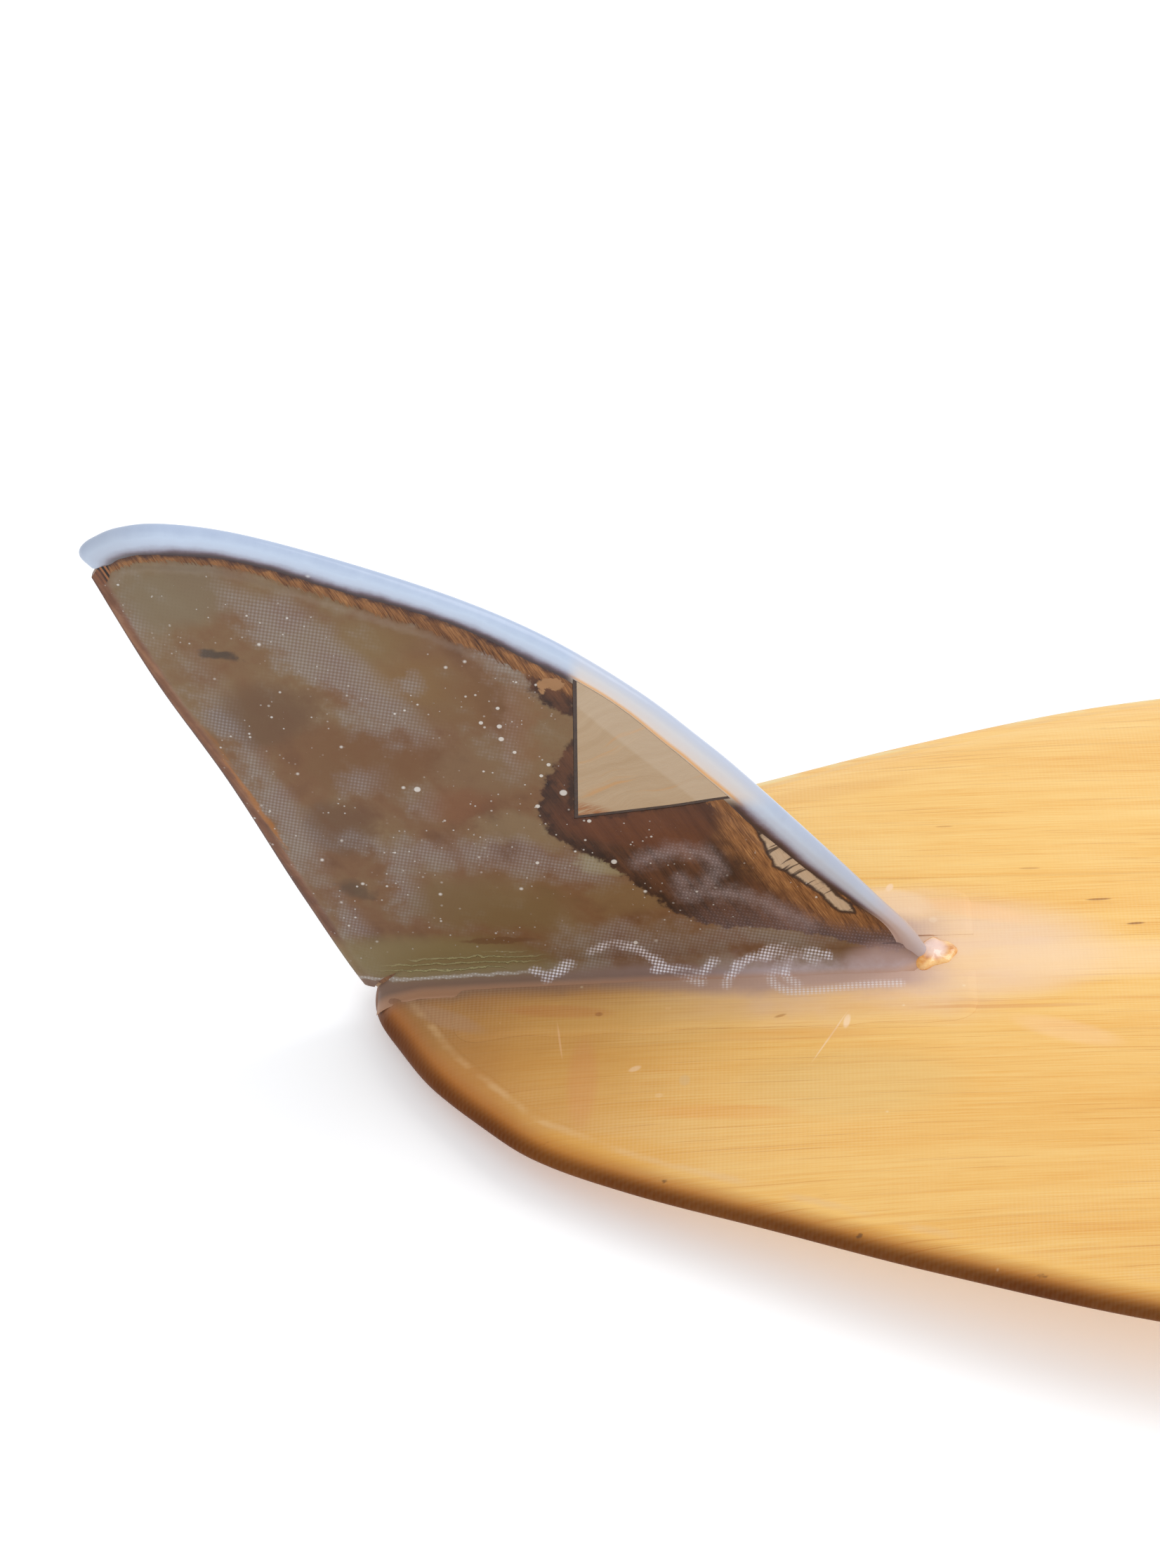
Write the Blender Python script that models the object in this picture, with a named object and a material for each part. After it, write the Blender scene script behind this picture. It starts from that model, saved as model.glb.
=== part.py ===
"""Clear-glassed balsa longboard, lying bottom up, with a plywood fin glassed onto its tail.

Units are metres. +X runs towards the nose, +Y towards the surfer's right and +Z out of the
bottom, so the board rests on its deck at the tail and the nose and the fin points up. Each
station is a distance from the tail end along the board. z = 0 is the surface it rests on.
"""

import math

import bmesh
import bpy
import numpy as np

# Board: overall size
BOARD_LENGTH = 2.896
TAIL_ROCKER = 0.085          # how far the bottom drops from the middle to the tail
NOSE_ROCKER = 0.088
ROCKER_POWER = 2.5
END_ROUNDING = 0.028         # length over which the tail and the nose round off
REST_SINK = 0.0030           # depth of deck sanded flat where the board touches down
BOTTOM_ROLL = 3.0            # section exponents: a higher value is a flatter face
DECK_ROLL = 2.6

# Half-width of the plan outline at each station
OUTLINE = [
    (0.000, 0.000), (0.012, 0.031), (0.031, 0.060), (0.050, 0.080), (0.076, 0.103),
    (0.120, 0.125), (0.179, 0.147), (0.250, 0.173), (0.356, 0.204), (0.700, 0.251),
    (1.050, 0.277), (1.400, 0.284), (1.850, 0.275), (2.300, 0.238), (2.600, 0.191),
    (2.750, 0.150), (2.850, 0.097), (2.896, 0.000),
]
# Thickness of the glassed board along its centre line at each station
THICKNESS = [
    (0.000, 0.028), (0.100, 0.039), (0.300, 0.050), (0.800, 0.068), (1.400, 0.076),
    (2.100, 0.067), (2.620, 0.048), (2.800, 0.037), (2.896, 0.024),
]

# Layers and the gaps between pieces
GAP = 0.0003
LAMINATE = 0.0010            # glass and resin on the board
FOOT_CLOTH = 0.0005
FIN_CLOTH = 0.0010

# Balsa planks: distances of the glue lines from the centre line
CENTRE_EDGE = 0.052
INNER_EDGE = 0.155
OUTER_EDGE = 0.258
SAW_BEYOND = 0.10            # how far the sawing cutters run past the board

# Mesh fineness
SHARP_ANGLE = 35.0           # degrees between faces that meet in a hard edge
SPLINE_STEPS = 20            # steps between two points of a smooth curve
STATION_STEPS = 28
END_STATIONS = (0.002, 0.020)
QUARTER_STEPS = 7            # steps from the centre line to the rail
LAP_STEP, LAP_ROW = 5, 3     # the deck glass laps onto the bottom as far as this step and row
BOTTOM_EDGE_STEP, BOTTOM_EDGE_ROW = 6, 2     # where the bottom glass ends, under the lap

# Fin: outlines as (station, height above the bottom at FIN_DATUM_STATION)
FIN_DATUM_STATION = 0.126
BEAD_OUTLINE = [
    (-0.1190, 0.2105), (-0.1235, 0.2132), (-0.1258, 0.2160), (-0.1250, 0.2197),
    (-0.1205, 0.2240), (-0.1100, 0.2298), (-0.0920, 0.2330), (-0.0600, 0.2300),
    (-0.0150, 0.2182), (0.0360, 0.2007), (0.0750, 0.1820), (0.1130, 0.1565),
    (0.1400, 0.1335), (0.1600, 0.1150), (0.1980, 0.0760), (0.2260, 0.0460),
    (0.2430, 0.0280), (0.2550, 0.0100),
]
BEAD_INNER = [
    (-0.1185, 0.2100), (-0.1180, 0.2115), (-0.1165, 0.2130), (-0.1145, 0.2155),
    (-0.1110, 0.2180), (-0.1030, 0.2210), (-0.0880, 0.2225), (-0.0600, 0.2210),
    (-0.0180, 0.2095), (0.0280, 0.1955), (0.0650, 0.1775), (0.1000, 0.1560),
    (0.1260, 0.1330), (0.1460, 0.1140), (0.1800, 0.0810), (0.2190, 0.0460),
    (0.2350, 0.0280), (0.2420, 0.0080),
]
TRAILING_EDGE = [
    (-0.121, 0.205), (-0.095, 0.150), (-0.065, 0.096), (-0.033, 0.031), (-0.003, -0.024),
    (0.012, -0.031),
]
INSERT_TOP, INSERT_CORNER, INSERT_FRONT = (0.085, 0.172), (0.089, 0.091), (0.156, 0.106)
SEAM_WIDTH = 0.0012

PLY_CORE = 0.0009            # half-thickness of the middle veneer
PLY_CROSS = 0.0027           # from the centre plane to the outside of the cross veneer
PLY_FACE = 0.0045            # to the outside of the face veneer
LEADING_TAPER = 0.72         # share of the full thickness left at the leading edge
LEADING_BEVEL = 0.025
TRAILING_TAPER = 0.30
TRAILING_BEVEL = 0.018
LEADING_COLUMNS = (0.0, 0.008, 0.025)        # fin grid's columns, from the leading edge
TRAILING_COLUMNS = (0.0, 0.0025, 0.006, 0.018)   # and from the trailing edge
MIDDLE_COLUMNS = 2
BEVEL_SHARE = 0.4            # most of a short chord that either set of columns takes
CLOTH_COLUMNS = (1, 6)       # the cloth covers the grid between these columns
HEIGHT_STEPS = 10
PATH_STEPS = 60              # steps of the curves that distances to the fin's edges are taken from
FIN_REACH = 0.03             # half-width of the cutters that cross the fin
VENEER_BOUNDS = [(-0.2, -0.1), (0.3, -0.1), (0.3, 0.3), (-0.2, 0.3)]     # all round the fin
NOTCH_REACH = 1.6            # cutting lines run this many times their own length

GLUE_ROOM = 0.0008           # between the plywood and the bead
BEAD_HALF = 0.0045           # half-thickness of the bead where it meets the plywood
BEAD_FULLNESS = 0.85
BEAD_FOOT = 0.205            # station from which the fillets run along the bead
BEAD_STEPS = 36
BEAD_CROWDING = 1.5          # above one, the steps crowd towards the tip
BEAD_ROUND_STEPS = 6

FILLET_LEG = 0.0105
FILLET_LIP = 0.0008          # thickness of the fillet at its two feather edges
FILLET_ROOT = 0.006          # how far the uncut fillet reaches below the bottom
FILLET_UNDER = 0.0035        # its inner face lies inside the fin until the fin is cut out
FILLET_ARC_STEPS = 5
FILLET_STEPS = 12
FILLET_REAR, FILLET_FRONT = 0.004, 0.2495
FILLET_OUTSIDE = 0.0160      # distance of the fillets' outer edges from the centre plane
FOOT_ROWS = (3, 8)
FOOT_REAR, FOOT_FRONT = 0.037, 0.272
FOOT_SIDE = 0.045
FOOT_CORNER_REAR = (0.022, 0.009)        # how much is cut off the cloth's outer corners
FOOT_CORNER_FRONT = (0.010, 0.009)
SHEARS_TOP = 0.3

DRIP_STATION = 0.2604
DRIP_RADII = (0.0088, 0.0080, 0.0055)
DRIP_SEGMENTS, DRIP_RINGS = 16, 10

# Colour and roughness of each material
MATERIALS = {
    "balsa": ((0.78, 0.50, 0.17), 0.6), "rail": ((0.62, 0.33, 0.09), 0.6),
    "glass": ((0.80, 0.56, 0.22), 0.2), "veneer": ((0.33, 0.17, 0.08), 0.5),
    "cross": ((0.50, 0.32, 0.17), 0.5), "insert": ((0.75, 0.56, 0.34), 0.4),
    "seam": ((0.08, 0.05, 0.04), 0.5), "bead": ((0.66, 0.71, 0.80), 0.2),
    "cloth": ((0.38, 0.29, 0.21), 0.3), "fillet": ((0.47, 0.37, 0.35), 0.3),
    "drip": ((0.72, 0.38, 0.14), 0.15),
}


def smooth_curve(points, x):
    """Monotone cubic through (x, y) points, read at x."""
    xs, ys = np.array(points, float).T
    h = np.diff(xs)
    slope = np.diff(ys) / h
    tangent = np.zeros(len(xs))
    tangent[0], tangent[-1] = slope[0], slope[-1]
    for i in range(1, len(xs) - 1):
        if slope[i - 1] * slope[i] > 0:
            wide, narrow = 2 * h[i] + h[i - 1], h[i] + 2 * h[i - 1]
            tangent[i] = (wide + narrow) / (wide / slope[i - 1] + narrow / slope[i])
    x = np.clip(x, xs[0], xs[-1])
    i = np.clip(np.searchsorted(xs, x) - 1, 0, len(h) - 1)
    t = (x - xs[i]) / h[i]
    return (
        ys[i] * (1 + 2 * t) * (1 - t) ** 2
        + tangent[i] * h[i] * t * (1 - t) ** 2
        + ys[i + 1] * t * t * (3 - 2 * t)
        + tangent[i + 1] * h[i] * t * t * (t - 1)
    )


def spline(points, fractions):
    """Points at the given fractions of the length of a smooth curve through points."""
    p = np.array(points, float)
    p = np.vstack([2 * p[0] - p[1], p, 2 * p[-1] - p[-2]])
    fine = []
    for a, b, c, d in zip(p, p[1:], p[2:], p[3:]):
        for t in np.linspace(0, 1, SPLINE_STEPS, endpoint=False):
            fine.append(
                0.5 * (2 * b + (c - a) * t + (2 * a - 5 * b + 4 * c - d) * t * t
                       + (3 * b - a - 3 * c + d) * t ** 3)
            )
    fine.append(p[-2])
    fine = np.array(fine)
    along = np.concatenate([[0], np.cumsum(np.linalg.norm(np.diff(fine, axis=0), axis=1))])
    wanted = np.asarray(fractions) * along[-1]
    return np.stack([np.interp(wanted, along, fine[:, k]) for k in range(2)], axis=1)


# ---------------------------------------------------------------- board surface

def half_width(s):
    squared = [(at, width * width) for at, width in OUTLINE]
    return np.sqrt(np.maximum(smooth_curve(squared, s), 0))


def thickness(s):
    return smooth_curve(THICKNESS, s)


TAIL_BOTTOM = THICKNESS[0][1] - REST_SINK
MIDDLE_BOTTOM = TAIL_BOTTOM + TAIL_ROCKER


def bottom_line(s):
    """Height of the bottom along the centre line, before the ends round off."""
    u = 1 - np.asarray(s) / (BOARD_LENGTH / 2)
    rocker = np.where(u > 0, TAIL_ROCKER, NOSE_ROCKER)
    return MIDDLE_BOTTOM - rocker * np.abs(u) ** ROCKER_POWER


def end_factor(s):
    """Falls from one to nothing over the last END_ROUNDING of either end."""
    from_end = np.minimum(s, BOARD_LENGTH - s)
    u = np.clip(1 - from_end / END_ROUNDING, 0, 1)
    return np.sqrt(np.maximum(1 - u * u, 0))


def board_point(s, side, face):
    """A point of the glassed surface: side runs from -1 to 1, face is 1 on the bottom, -1 below."""
    half = thickness(s) / 2
    middle = bottom_line(s) - half
    roll = BOTTOM_ROLL if face > 0 else DECK_ROLL
    rise = half * end_factor(s) * math.sqrt(max(1 - abs(side) ** roll, 0))
    return np.array([s, half_width(s) * side, middle + face * rise])


def section_sides():
    """(side, face) around the section: bottom centre line, right rail, deck, left rail."""
    n = QUARTER_STEPS
    quarter = [math.sin(math.pi / 2 * k / n) for k in range(n + 1)]
    right_bottom = [(quarter[k], 1) for k in range(n)]
    right_deck = [(quarter[k], -1) for k in range(n, 0, -1)]
    left_deck = [(-quarter[k], -1) for k in range(n)]
    left_bottom = [(-quarter[k], 1) for k in range(n, 0, -1)]
    return right_bottom + right_deck + left_deck + left_bottom


def board_stations():
    """Stations that crowd towards both ends, with two more in each rounded end."""
    wave = [(1 - math.cos(math.pi * i / STATION_STEPS)) / 2 for i in range(STATION_STEPS + 1)]
    stations = [BOARD_LENGTH * w for w in wave]
    stations += list(END_STATIONS) + [BOARD_LENGTH - s for s in END_STATIONS]
    return sorted(stations)


STATIONS = board_stations()
SIDES = section_sides()
ROWS = len(STATIONS)
RING = len(SIDES)


def surface_grid():
    """Points and outward normals of the glassed surface: a row for each station."""
    grid = np.array([[board_point(s, side, face) for side, face in SIDES] for s in STATIONS])
    along = np.gradient(grid, axis=0)
    around = np.roll(grid, -1, axis=1) - np.roll(grid, 1, axis=1)
    normals = np.cross(along, around)
    normals /= np.maximum(np.linalg.norm(normals, axis=2, keepdims=True), 1e-12)
    normals[0] = (-1, 0, 0)
    normals[-1] = (1, 0, 0)
    return grid, normals


GRID, NORMALS = surface_grid()
ROWS_IN = np.minimum(np.arange(ROWS), ROWS - 1 - np.arange(ROWS))[:, None]
STEPS_OUT = np.minimum(np.arange(RING), RING - np.arange(RING))[None, :]

BEAD_FRACTIONS = np.linspace(0, 1, BEAD_STEPS + 1) ** BEAD_CROWDING
BEAD_OUTER_PATH = spline(BEAD_OUTLINE, BEAD_FRACTIONS)
BEAD_INNER_PATH = spline(BEAD_INNER, BEAD_FRACTIONS)
SHIFT = -(BOARD_LENGTH + BEAD_OUTER_PATH[:, 0].min()) / 2    # centres the object on x = 0


def surface_at(depth):
    """The grid moved inwards by depth, and level where the deck is sanded flat."""
    depth = np.broadcast_to(depth, GRID.shape[:2])
    moved = GRID - depth[:, :, None] * NORMALS
    moved[:, :, 2] = np.maximum(moved[:, :, 2], depth)
    return moved


# ---------------------------------------------------------------- mesh helpers

def material(name):
    found = bpy.data.materials.get(name)
    if found:
        return found
    colour, roughness = MATERIALS[name]
    made = bpy.data.materials.new(name)
    made.use_nodes = True
    shader = made.node_tree.nodes["Principled BSDF"]
    shader.inputs["Base Color"].default_value = (*colour, 1)
    shader.inputs["Roughness"].default_value = roughness
    shader.inputs["Metallic"].default_value = 0
    return made


def add_object(name, points, faces, look=None):
    """An object from (station, y, z) points, its faces turned outwards."""
    mesh = bpy.data.meshes.new(name)
    mesh.from_pydata([(s + SHIFT, y, z) for s, y, z in points], [], faces)
    form = bmesh.new()
    form.from_mesh(mesh)
    bmesh.ops.recalc_face_normals(form, faces=form.faces)
    form.to_mesh(mesh)
    form.free()
    made = bpy.data.objects.new(name, mesh)
    bpy.context.scene.collection.objects.link(made)
    if look:
        mesh.materials.append(material(look))
        mesh.shade_smooth()
        mesh.set_sharp_from_angle(angle=math.radians(SHARP_ANGLE))
    else:
        made.hide_render = True
        made.display_type = "WIRE"
    return made


def split(quad):
    """A quad as two triangles, along the same diagonal on every layer; a triangle as it is."""
    return [(quad[0], *quad[i:i + 2]) for i in range(1, len(quad) - 1)]


def boolean(target, cutter, operation="DIFFERENCE"):
    step = target.modifiers.new(cutter.name, "BOOLEAN")
    step.operation = operation
    step.solver = "EXACT"
    step.object = cutter


def board_body(name, depth, look=None):
    """The whole board as one closed body, its surface at the given depth."""
    points = surface_at(depth)
    middle = points[1:-1].reshape(-1, 3)
    tail, nose = len(middle), len(middle) + 1
    vertices = [*middle, points[0, 0], points[-1, 0]]
    faces = []
    for k in range(RING):
        after = (k + 1) % RING
        faces.append((tail, k, after))
        for r in range(ROWS - 3):
            near, far = r * RING, (r + 1) * RING
            faces += split((near + k, far + k, far + after, near + after))
        last = (ROWS - 3) * RING
        faces.append((last + k, nose, last + after))
    return add_object(name, vertices, faces, look)


def board_skin(name, top, bottom, kept, look=None):
    """A skin between two depths over the grid cells where kept(rows in, steps out) holds."""
    layers = (surface_at(top), surface_at(bottom))
    numbers, vertices, faces, edges = {}, [], [], {}

    def vertex(layer, row, k):
        key = (layer, row, 0 if row in (0, ROWS - 1) else k % RING)
        if key not in numbers:
            numbers[key] = len(vertices)
            vertices.append(layers[layer][key[1], key[2]])
        return numbers[key]

    for r in range(ROWS - 1):
        for k in range(RING):
            if not kept(min(r, ROWS - 2 - r), min(k, RING - 1 - k)):
                continue
            corners = [(r, k), (r + 1, k), (r + 1, k + 1), (r, k + 1)]
            for layer in (0, 1):
                faces += split(list(dict.fromkeys(vertex(layer, *c) for c in corners)))
            for a, b in zip(corners, corners[1:] + corners[:1]):
                ends = (vertex(0, *a), vertex(0, *b))
                if ends[0] != ends[1]:
                    wall = (*ends, vertex(1, *b), vertex(1, *a))
                    edges.setdefault(tuple(sorted(ends)), []).append(wall)
    faces += [walls[0] for walls in edges.values() if len(walls) == 1]
    return add_object(name, vertices, faces, look)


def thick_sheet(name, front, back, look=None):
    """A closed solid between two grids of points of the same size."""
    rows, columns = front.shape[:2]
    half = rows * columns
    vertices = np.concatenate([front.reshape(-1, 3), back.reshape(-1, 3)])
    faces = []
    for r in range(rows - 1):
        for c in range(columns - 1):
            a = r * columns + c
            quad = (a, a + 1, a + columns + 1, a + columns)
            faces += split(quad)
            faces += split([half + v for v in quad])
    border = [c for c in range(columns)]
    border += [r * columns + columns - 1 for r in range(1, rows)]
    border += [(rows - 1) * columns + c for c in range(columns - 2, -1, -1)]
    border += [r * columns for r in range(rows - 2, 0, -1)]
    for a, b in zip(border, border[1:] + border[:1]):
        faces.append((a, half + a, half + b, b))
    return add_object(name, vertices, faces, look)


def prism(name, outline, low, high, across="y"):
    """An outline of (station, z) or (station, y) points extruded between low and high."""
    def place(point, level):
        return (point[0], level, point[1]) if across == "y" else (point[0], point[1], level)

    n = len(outline)
    vertices = [place(p, low) for p in outline] + [place(p, high) for p in outline]
    faces = [tuple(range(n)), tuple(range(2 * n - 1, n - 1, -1))]
    faces += [(i, (i + 1) % n, n + (i + 1) % n, n + i) for i in range(n)]
    return add_object(name, vertices, faces)


# ---------------------------------------------------------------- board

BURIED = 2 * (LAMINATE + GAP)        # depth of the wood under both layers of glass
COVERED = LAMINATE + GAP             # depth of the wood, or of the bottom glass, under one


def build_planks():
    """The balsa blank, sawn along its glue lines."""
    under_bottom = (ROWS_IN >= BOTTOM_EDGE_ROW) & (STEPS_OUT <= BOTTOM_EDGE_STEP)
    depth = np.where(under_bottom, BURIED, COVERED)
    cuts = [
        ("plank_centre", -CENTRE_EDGE, CENTRE_EDGE),
        ("plank_inner", CENTRE_EDGE, INNER_EDGE),
        ("plank_outer", INNER_EDGE, OUTER_EDGE),
        ("rail_strip", OUTER_EDGE, 2 * OUTER_EDGE),
    ]
    rear, front = -SAW_BEYOND, BOARD_LENGTH + SAW_BEYOND
    for base, inner, outer in cuts:
        sides = [("", 1)] if inner < 0 else [("_right", 1), ("_left", -1)]
        for suffix, sign in sides:
            near, far = sorted((sign * (inner + GAP / 2), sign * (outer - GAP / 2)))
            look = "rail" if base == "rail_strip" else "balsa"
            plank = board_body(base + suffix, depth, look)
            outline = [(rear, near), (front, near), (front, far), (rear, far)]
            saw = (-SAW_BEYOND, MIDDLE_BOTTOM + SAW_BEYOND)
            slab = prism("saw_" + base + suffix, outline, *saw, across="z")
            boolean(plank, slab, "INTERSECT")


def build_board_glass():
    def on_bottom(rows_in, steps_out):
        return rows_in >= BOTTOM_EDGE_ROW and steps_out < BOTTOM_EDGE_STEP

    def off_hole(rows_in, steps_out):
        return not (rows_in >= LAP_ROW and steps_out < LAP_STEP)

    board_skin("bottom_laminate", COVERED, COVERED + LAMINATE, on_bottom, "glass")
    board_skin("deck_laminate", 0, LAMINATE, off_hole, "glass")


def build_foot_cloth():
    """Reinforcing cloth on the bottom at each side of the fin, between the fillet and the rail."""
    under = COVERED - GAP
    inner = FILLET_OUTSIDE + GAP
    for side, sign in (("left", -1), ("right", 1)):
        foot = board_skin(
            "foot_cloth_" + side, under - FOOT_CLOTH, under,
            lambda rows_in, steps_out: FOOT_ROWS[0] <= rows_in < FOOT_ROWS[1]
            and steps_out < LAP_STEP, "cloth",
        )
        (rear_cut, rear_in), (front_cut, front_in) = FOOT_CORNER_REAR, FOOT_CORNER_FRONT
        outline = [
            (FOOT_REAR, inner), (FOOT_FRONT, inner), (FOOT_FRONT, FOOT_SIDE - front_in),
            (FOOT_FRONT - front_cut, FOOT_SIDE), (FOOT_REAR + rear_cut, FOOT_SIDE),
            (FOOT_REAR, FOOT_SIDE - rear_in),
        ]
        outline = [(s, sign * y) for s, y in outline]
        shears = prism("shears_" + side, outline, 0, SHEARS_TOP, across="z")
        boolean(foot, shears, "INTERSECT")


# ---------------------------------------------------------------- fin

FIN_DATUM = float(bottom_line(FIN_DATUM_STATION)) - COVERED
TRIM_BEYOND = 0.04           # how far the trimming cutters run past the fillets


def visible_bottom(s):
    """Height of the bottom glass along the centre line, with the rounded tail."""
    half = thickness(s) / 2
    return bottom_line(s) - half + half * end_factor(s) - COVERED


def distance_to(path, points):
    """Distance of each (station, height) point from a line through the path's points."""
    points = np.asarray(points, float)
    nearest = np.full(points.shape[:-1], np.inf)
    for a, b in zip(path[:-1], path[1:]):
        run = b - a
        t = np.clip(((points - a) @ run) / (run @ run), 0, 1)
        gap = points - (a + t[..., None] * run)
        nearest = np.minimum(nearest, np.linalg.norm(gap, axis=-1))
    return nearest


FRONT_PATH = spline(BEAD_INNER[::-1], np.linspace(0, 1, PATH_STEPS))
REAR_PATH = spline(TRAILING_EDGE[::-1], np.linspace(0, 1, PATH_STEPS))


def wood_half(points):
    """Half-thickness of the shaped plywood at (station, height) points."""
    front = np.clip(distance_to(FRONT_PATH, points) / LEADING_BEVEL, 0, 1)
    rear = np.clip(distance_to(REAR_PATH, points) / TRAILING_BEVEL, 0, 1)
    lead = LEADING_TAPER + (1 - LEADING_TAPER) * front * front * (3 - 2 * front)
    trail = TRAILING_TAPER + (1 - TRAILING_TAPER) * np.sqrt(rear)
    return PLY_FACE * lead * trail


def chord_columns(length):
    """Distances of the grid's columns from the leading edge, on a chord of this length."""
    lead = np.array(LEADING_COLUMNS) * min(1, BEVEL_SHARE * length / LEADING_COLUMNS[-1])
    trail = np.array(TRAILING_COLUMNS) * min(1, BEVEL_SHARE * length / TRAILING_COLUMNS[-1])
    middle = np.linspace(lead[-1], length - trail[-1], MIDDLE_COLUMNS + 2)[1:-1]
    return np.concatenate([lead, middle, length - trail[::-1]])


def fin_grid():
    """(station, height) points over the wood: rows from the base to the tip, columns aft."""
    rows = []
    for row in np.linspace(0, 1, HEIGHT_STEPS + 1):
        front = spline(BEAD_INNER[::-1], [row])[0]
        rear = spline(TRAILING_EDGE[::-1], [row])[0]
        length = np.linalg.norm(rear - front)
        aft = (rear - front) / length
        usable = length - GLUE_ROOM
        rows.append([front + aft * (GLUE_ROOM + d) for d in chord_columns(usable)])
    return np.array(rows)


FIN_GRID = fin_grid()
FIN_HALF = wood_half(FIN_GRID)


def raised(points, y):
    """(station, height) points as (station, y, z)."""
    y = np.broadcast_to(y, points.shape[:-1])
    return np.stack([points[..., 0], y, points[..., 1] + FIN_DATUM], axis=-1)


def fin_body(name, proud, look=None):
    """The whole fin behind its bead, standing proud of the wood on both sides."""
    skin = FIN_HALF + proud
    return thick_sheet(name, raised(FIN_GRID, skin), raised(FIN_GRID, -skin), look)


def cut_line(start, end, offset):
    """A line's two ends, moved sideways to its right by offset."""
    run = np.subtract(end, start)
    right = np.array([run[1], -run[0]]) / np.hypot(*run)
    return np.array(start) + right * offset, np.array(end) + right * offset


def notch_corner(offset):
    """Top, corner and front of the insert's two cut edges, moved outwards by offset."""
    top, upright = cut_line(INSERT_CORNER, INSERT_TOP, -offset)[::-1]
    level, front = cut_line(INSERT_CORNER, INSERT_FRONT, offset)
    up, along = top - upright, front - level
    matrix = np.array([up, -along]).T
    share = np.linalg.solve(matrix, level - upright)[0]
    corner = upright + share * up
    return corner + up * NOTCH_REACH, corner, corner + along * NOTCH_REACH


def lifted(outline):
    return [(s, height + FIN_DATUM) for s, height in outline]


def notch_prism(name, offset):
    """A wedge that covers the insert, its two cut edges moved outwards by offset."""
    top, corner, front = notch_corner(offset)
    outer = (front[0], top[1])
    return prism(name, lifted([top, corner, front, outer]), -FIN_REACH, FIN_REACH)


def build_fin_wood(board, notch):
    """Five veneers, shaved together to the fin's section, so the bevels expose the inner ones."""
    layers = [
        ("fin_core_ply", -PLY_CORE, PLY_CORE, "veneer"),
        ("fin_cross_ply_right", PLY_CORE + GAP, PLY_CROSS, "cross"),
        ("fin_cross_ply_left", -PLY_CROSS, -PLY_CORE - GAP, "cross"),
        ("fin_face_ply_right", PLY_CROSS + GAP, FIN_REACH, "veneer"),
        ("fin_face_ply_left", -FIN_REACH, -PLY_CROSS - GAP, "veneer"),
    ]
    for name, low, high, look in layers:
        ply = fin_body(name, 0, look)
        boolean(ply, prism("sheet_" + name, lifted(VENEER_BOUNDS), low, high), "INTERSECT")
        boolean(ply, board)
        boolean(ply, notch)


def build_repair(notch_seam, notch_insert):
    """The pale wedge let into the leading edge, and the glue along its two cut edges."""
    insert = fin_body("fin_repair_insert", FIN_CLOTH + GAP, "insert")
    boolean(insert, notch_insert, "INTERSECT")
    seam = fin_body("fin_repair_seam", FIN_CLOTH, "seam")
    boolean(seam, notch_seam, "INTERSECT")


def seam_prism(name):
    """An L-shaped bar between the insert and the fin."""
    outside, inside = notch_corner(SEAM_WIDTH + GAP), notch_corner(GAP)
    outline = [*outside, *reversed(inside)]
    return prism(name, lifted(outline), -FIN_REACH, FIN_REACH)


def build_fin_cloth(foot, notch):
    """Glass cloth on each side, from behind the leading edge to the trailing bevel."""
    for suffix, sign in (("_left", -1), ("_right", 1)):
        columns = slice(CLOTH_COLUMNS[0], CLOTH_COLUMNS[1] + 1)
        points, inner = FIN_GRID[:, columns], FIN_HALF[:, columns] + GAP
        cloth = thick_sheet(
            "fin_cloth" + suffix, raised(points, sign * (inner + FIN_CLOTH)),
            raised(points, sign * inner), "cloth",
        )
        boolean(cloth, foot)
        boolean(cloth, notch)


def build_bead(board):
    """Half-round resin bead along the leading edge, flat where it meets the plywood."""
    vertices = []
    for near, far in zip(BEAD_INNER_PATH, BEAD_OUTER_PATH):
        for k in range(BEAD_ROUND_STEPS + 1):
            turn = math.pi * (k / BEAD_ROUND_STEPS - 0.5)
            s, height = near + (far - near) * math.cos(turn) ** BEAD_FULLNESS
            vertices.append((s, BEAD_HALF * math.sin(turn), height + FIN_DATUM))
    n = BEAD_ROUND_STEPS + 1
    faces = [tuple(range(n)), tuple(BEAD_STEPS * n + k for k in reversed(range(n)))]
    for r in range(BEAD_STEPS):
        for k in range(n):
            after = (k + 1) % n
            faces.append((r * n + k, (r + 1) * n + k, (r + 1) * n + after, r * n + after))
    bead = add_object("fin_bead", vertices, faces, "bead")
    boolean(bead, board)


FILLET_STATIONS = np.linspace(FILLET_REAR, FILLET_FRONT, FILLET_STEPS + 1)


def fillet_inside(s):
    """Where a fillet's inner face starts at station s, before the fin is cut out of it."""
    if s == FILLET_STATIONS[0]:
        return GAP / 2
    return BEAD_HALF + GAP if s > BEAD_FOOT else FILLET_UNDER


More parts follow.
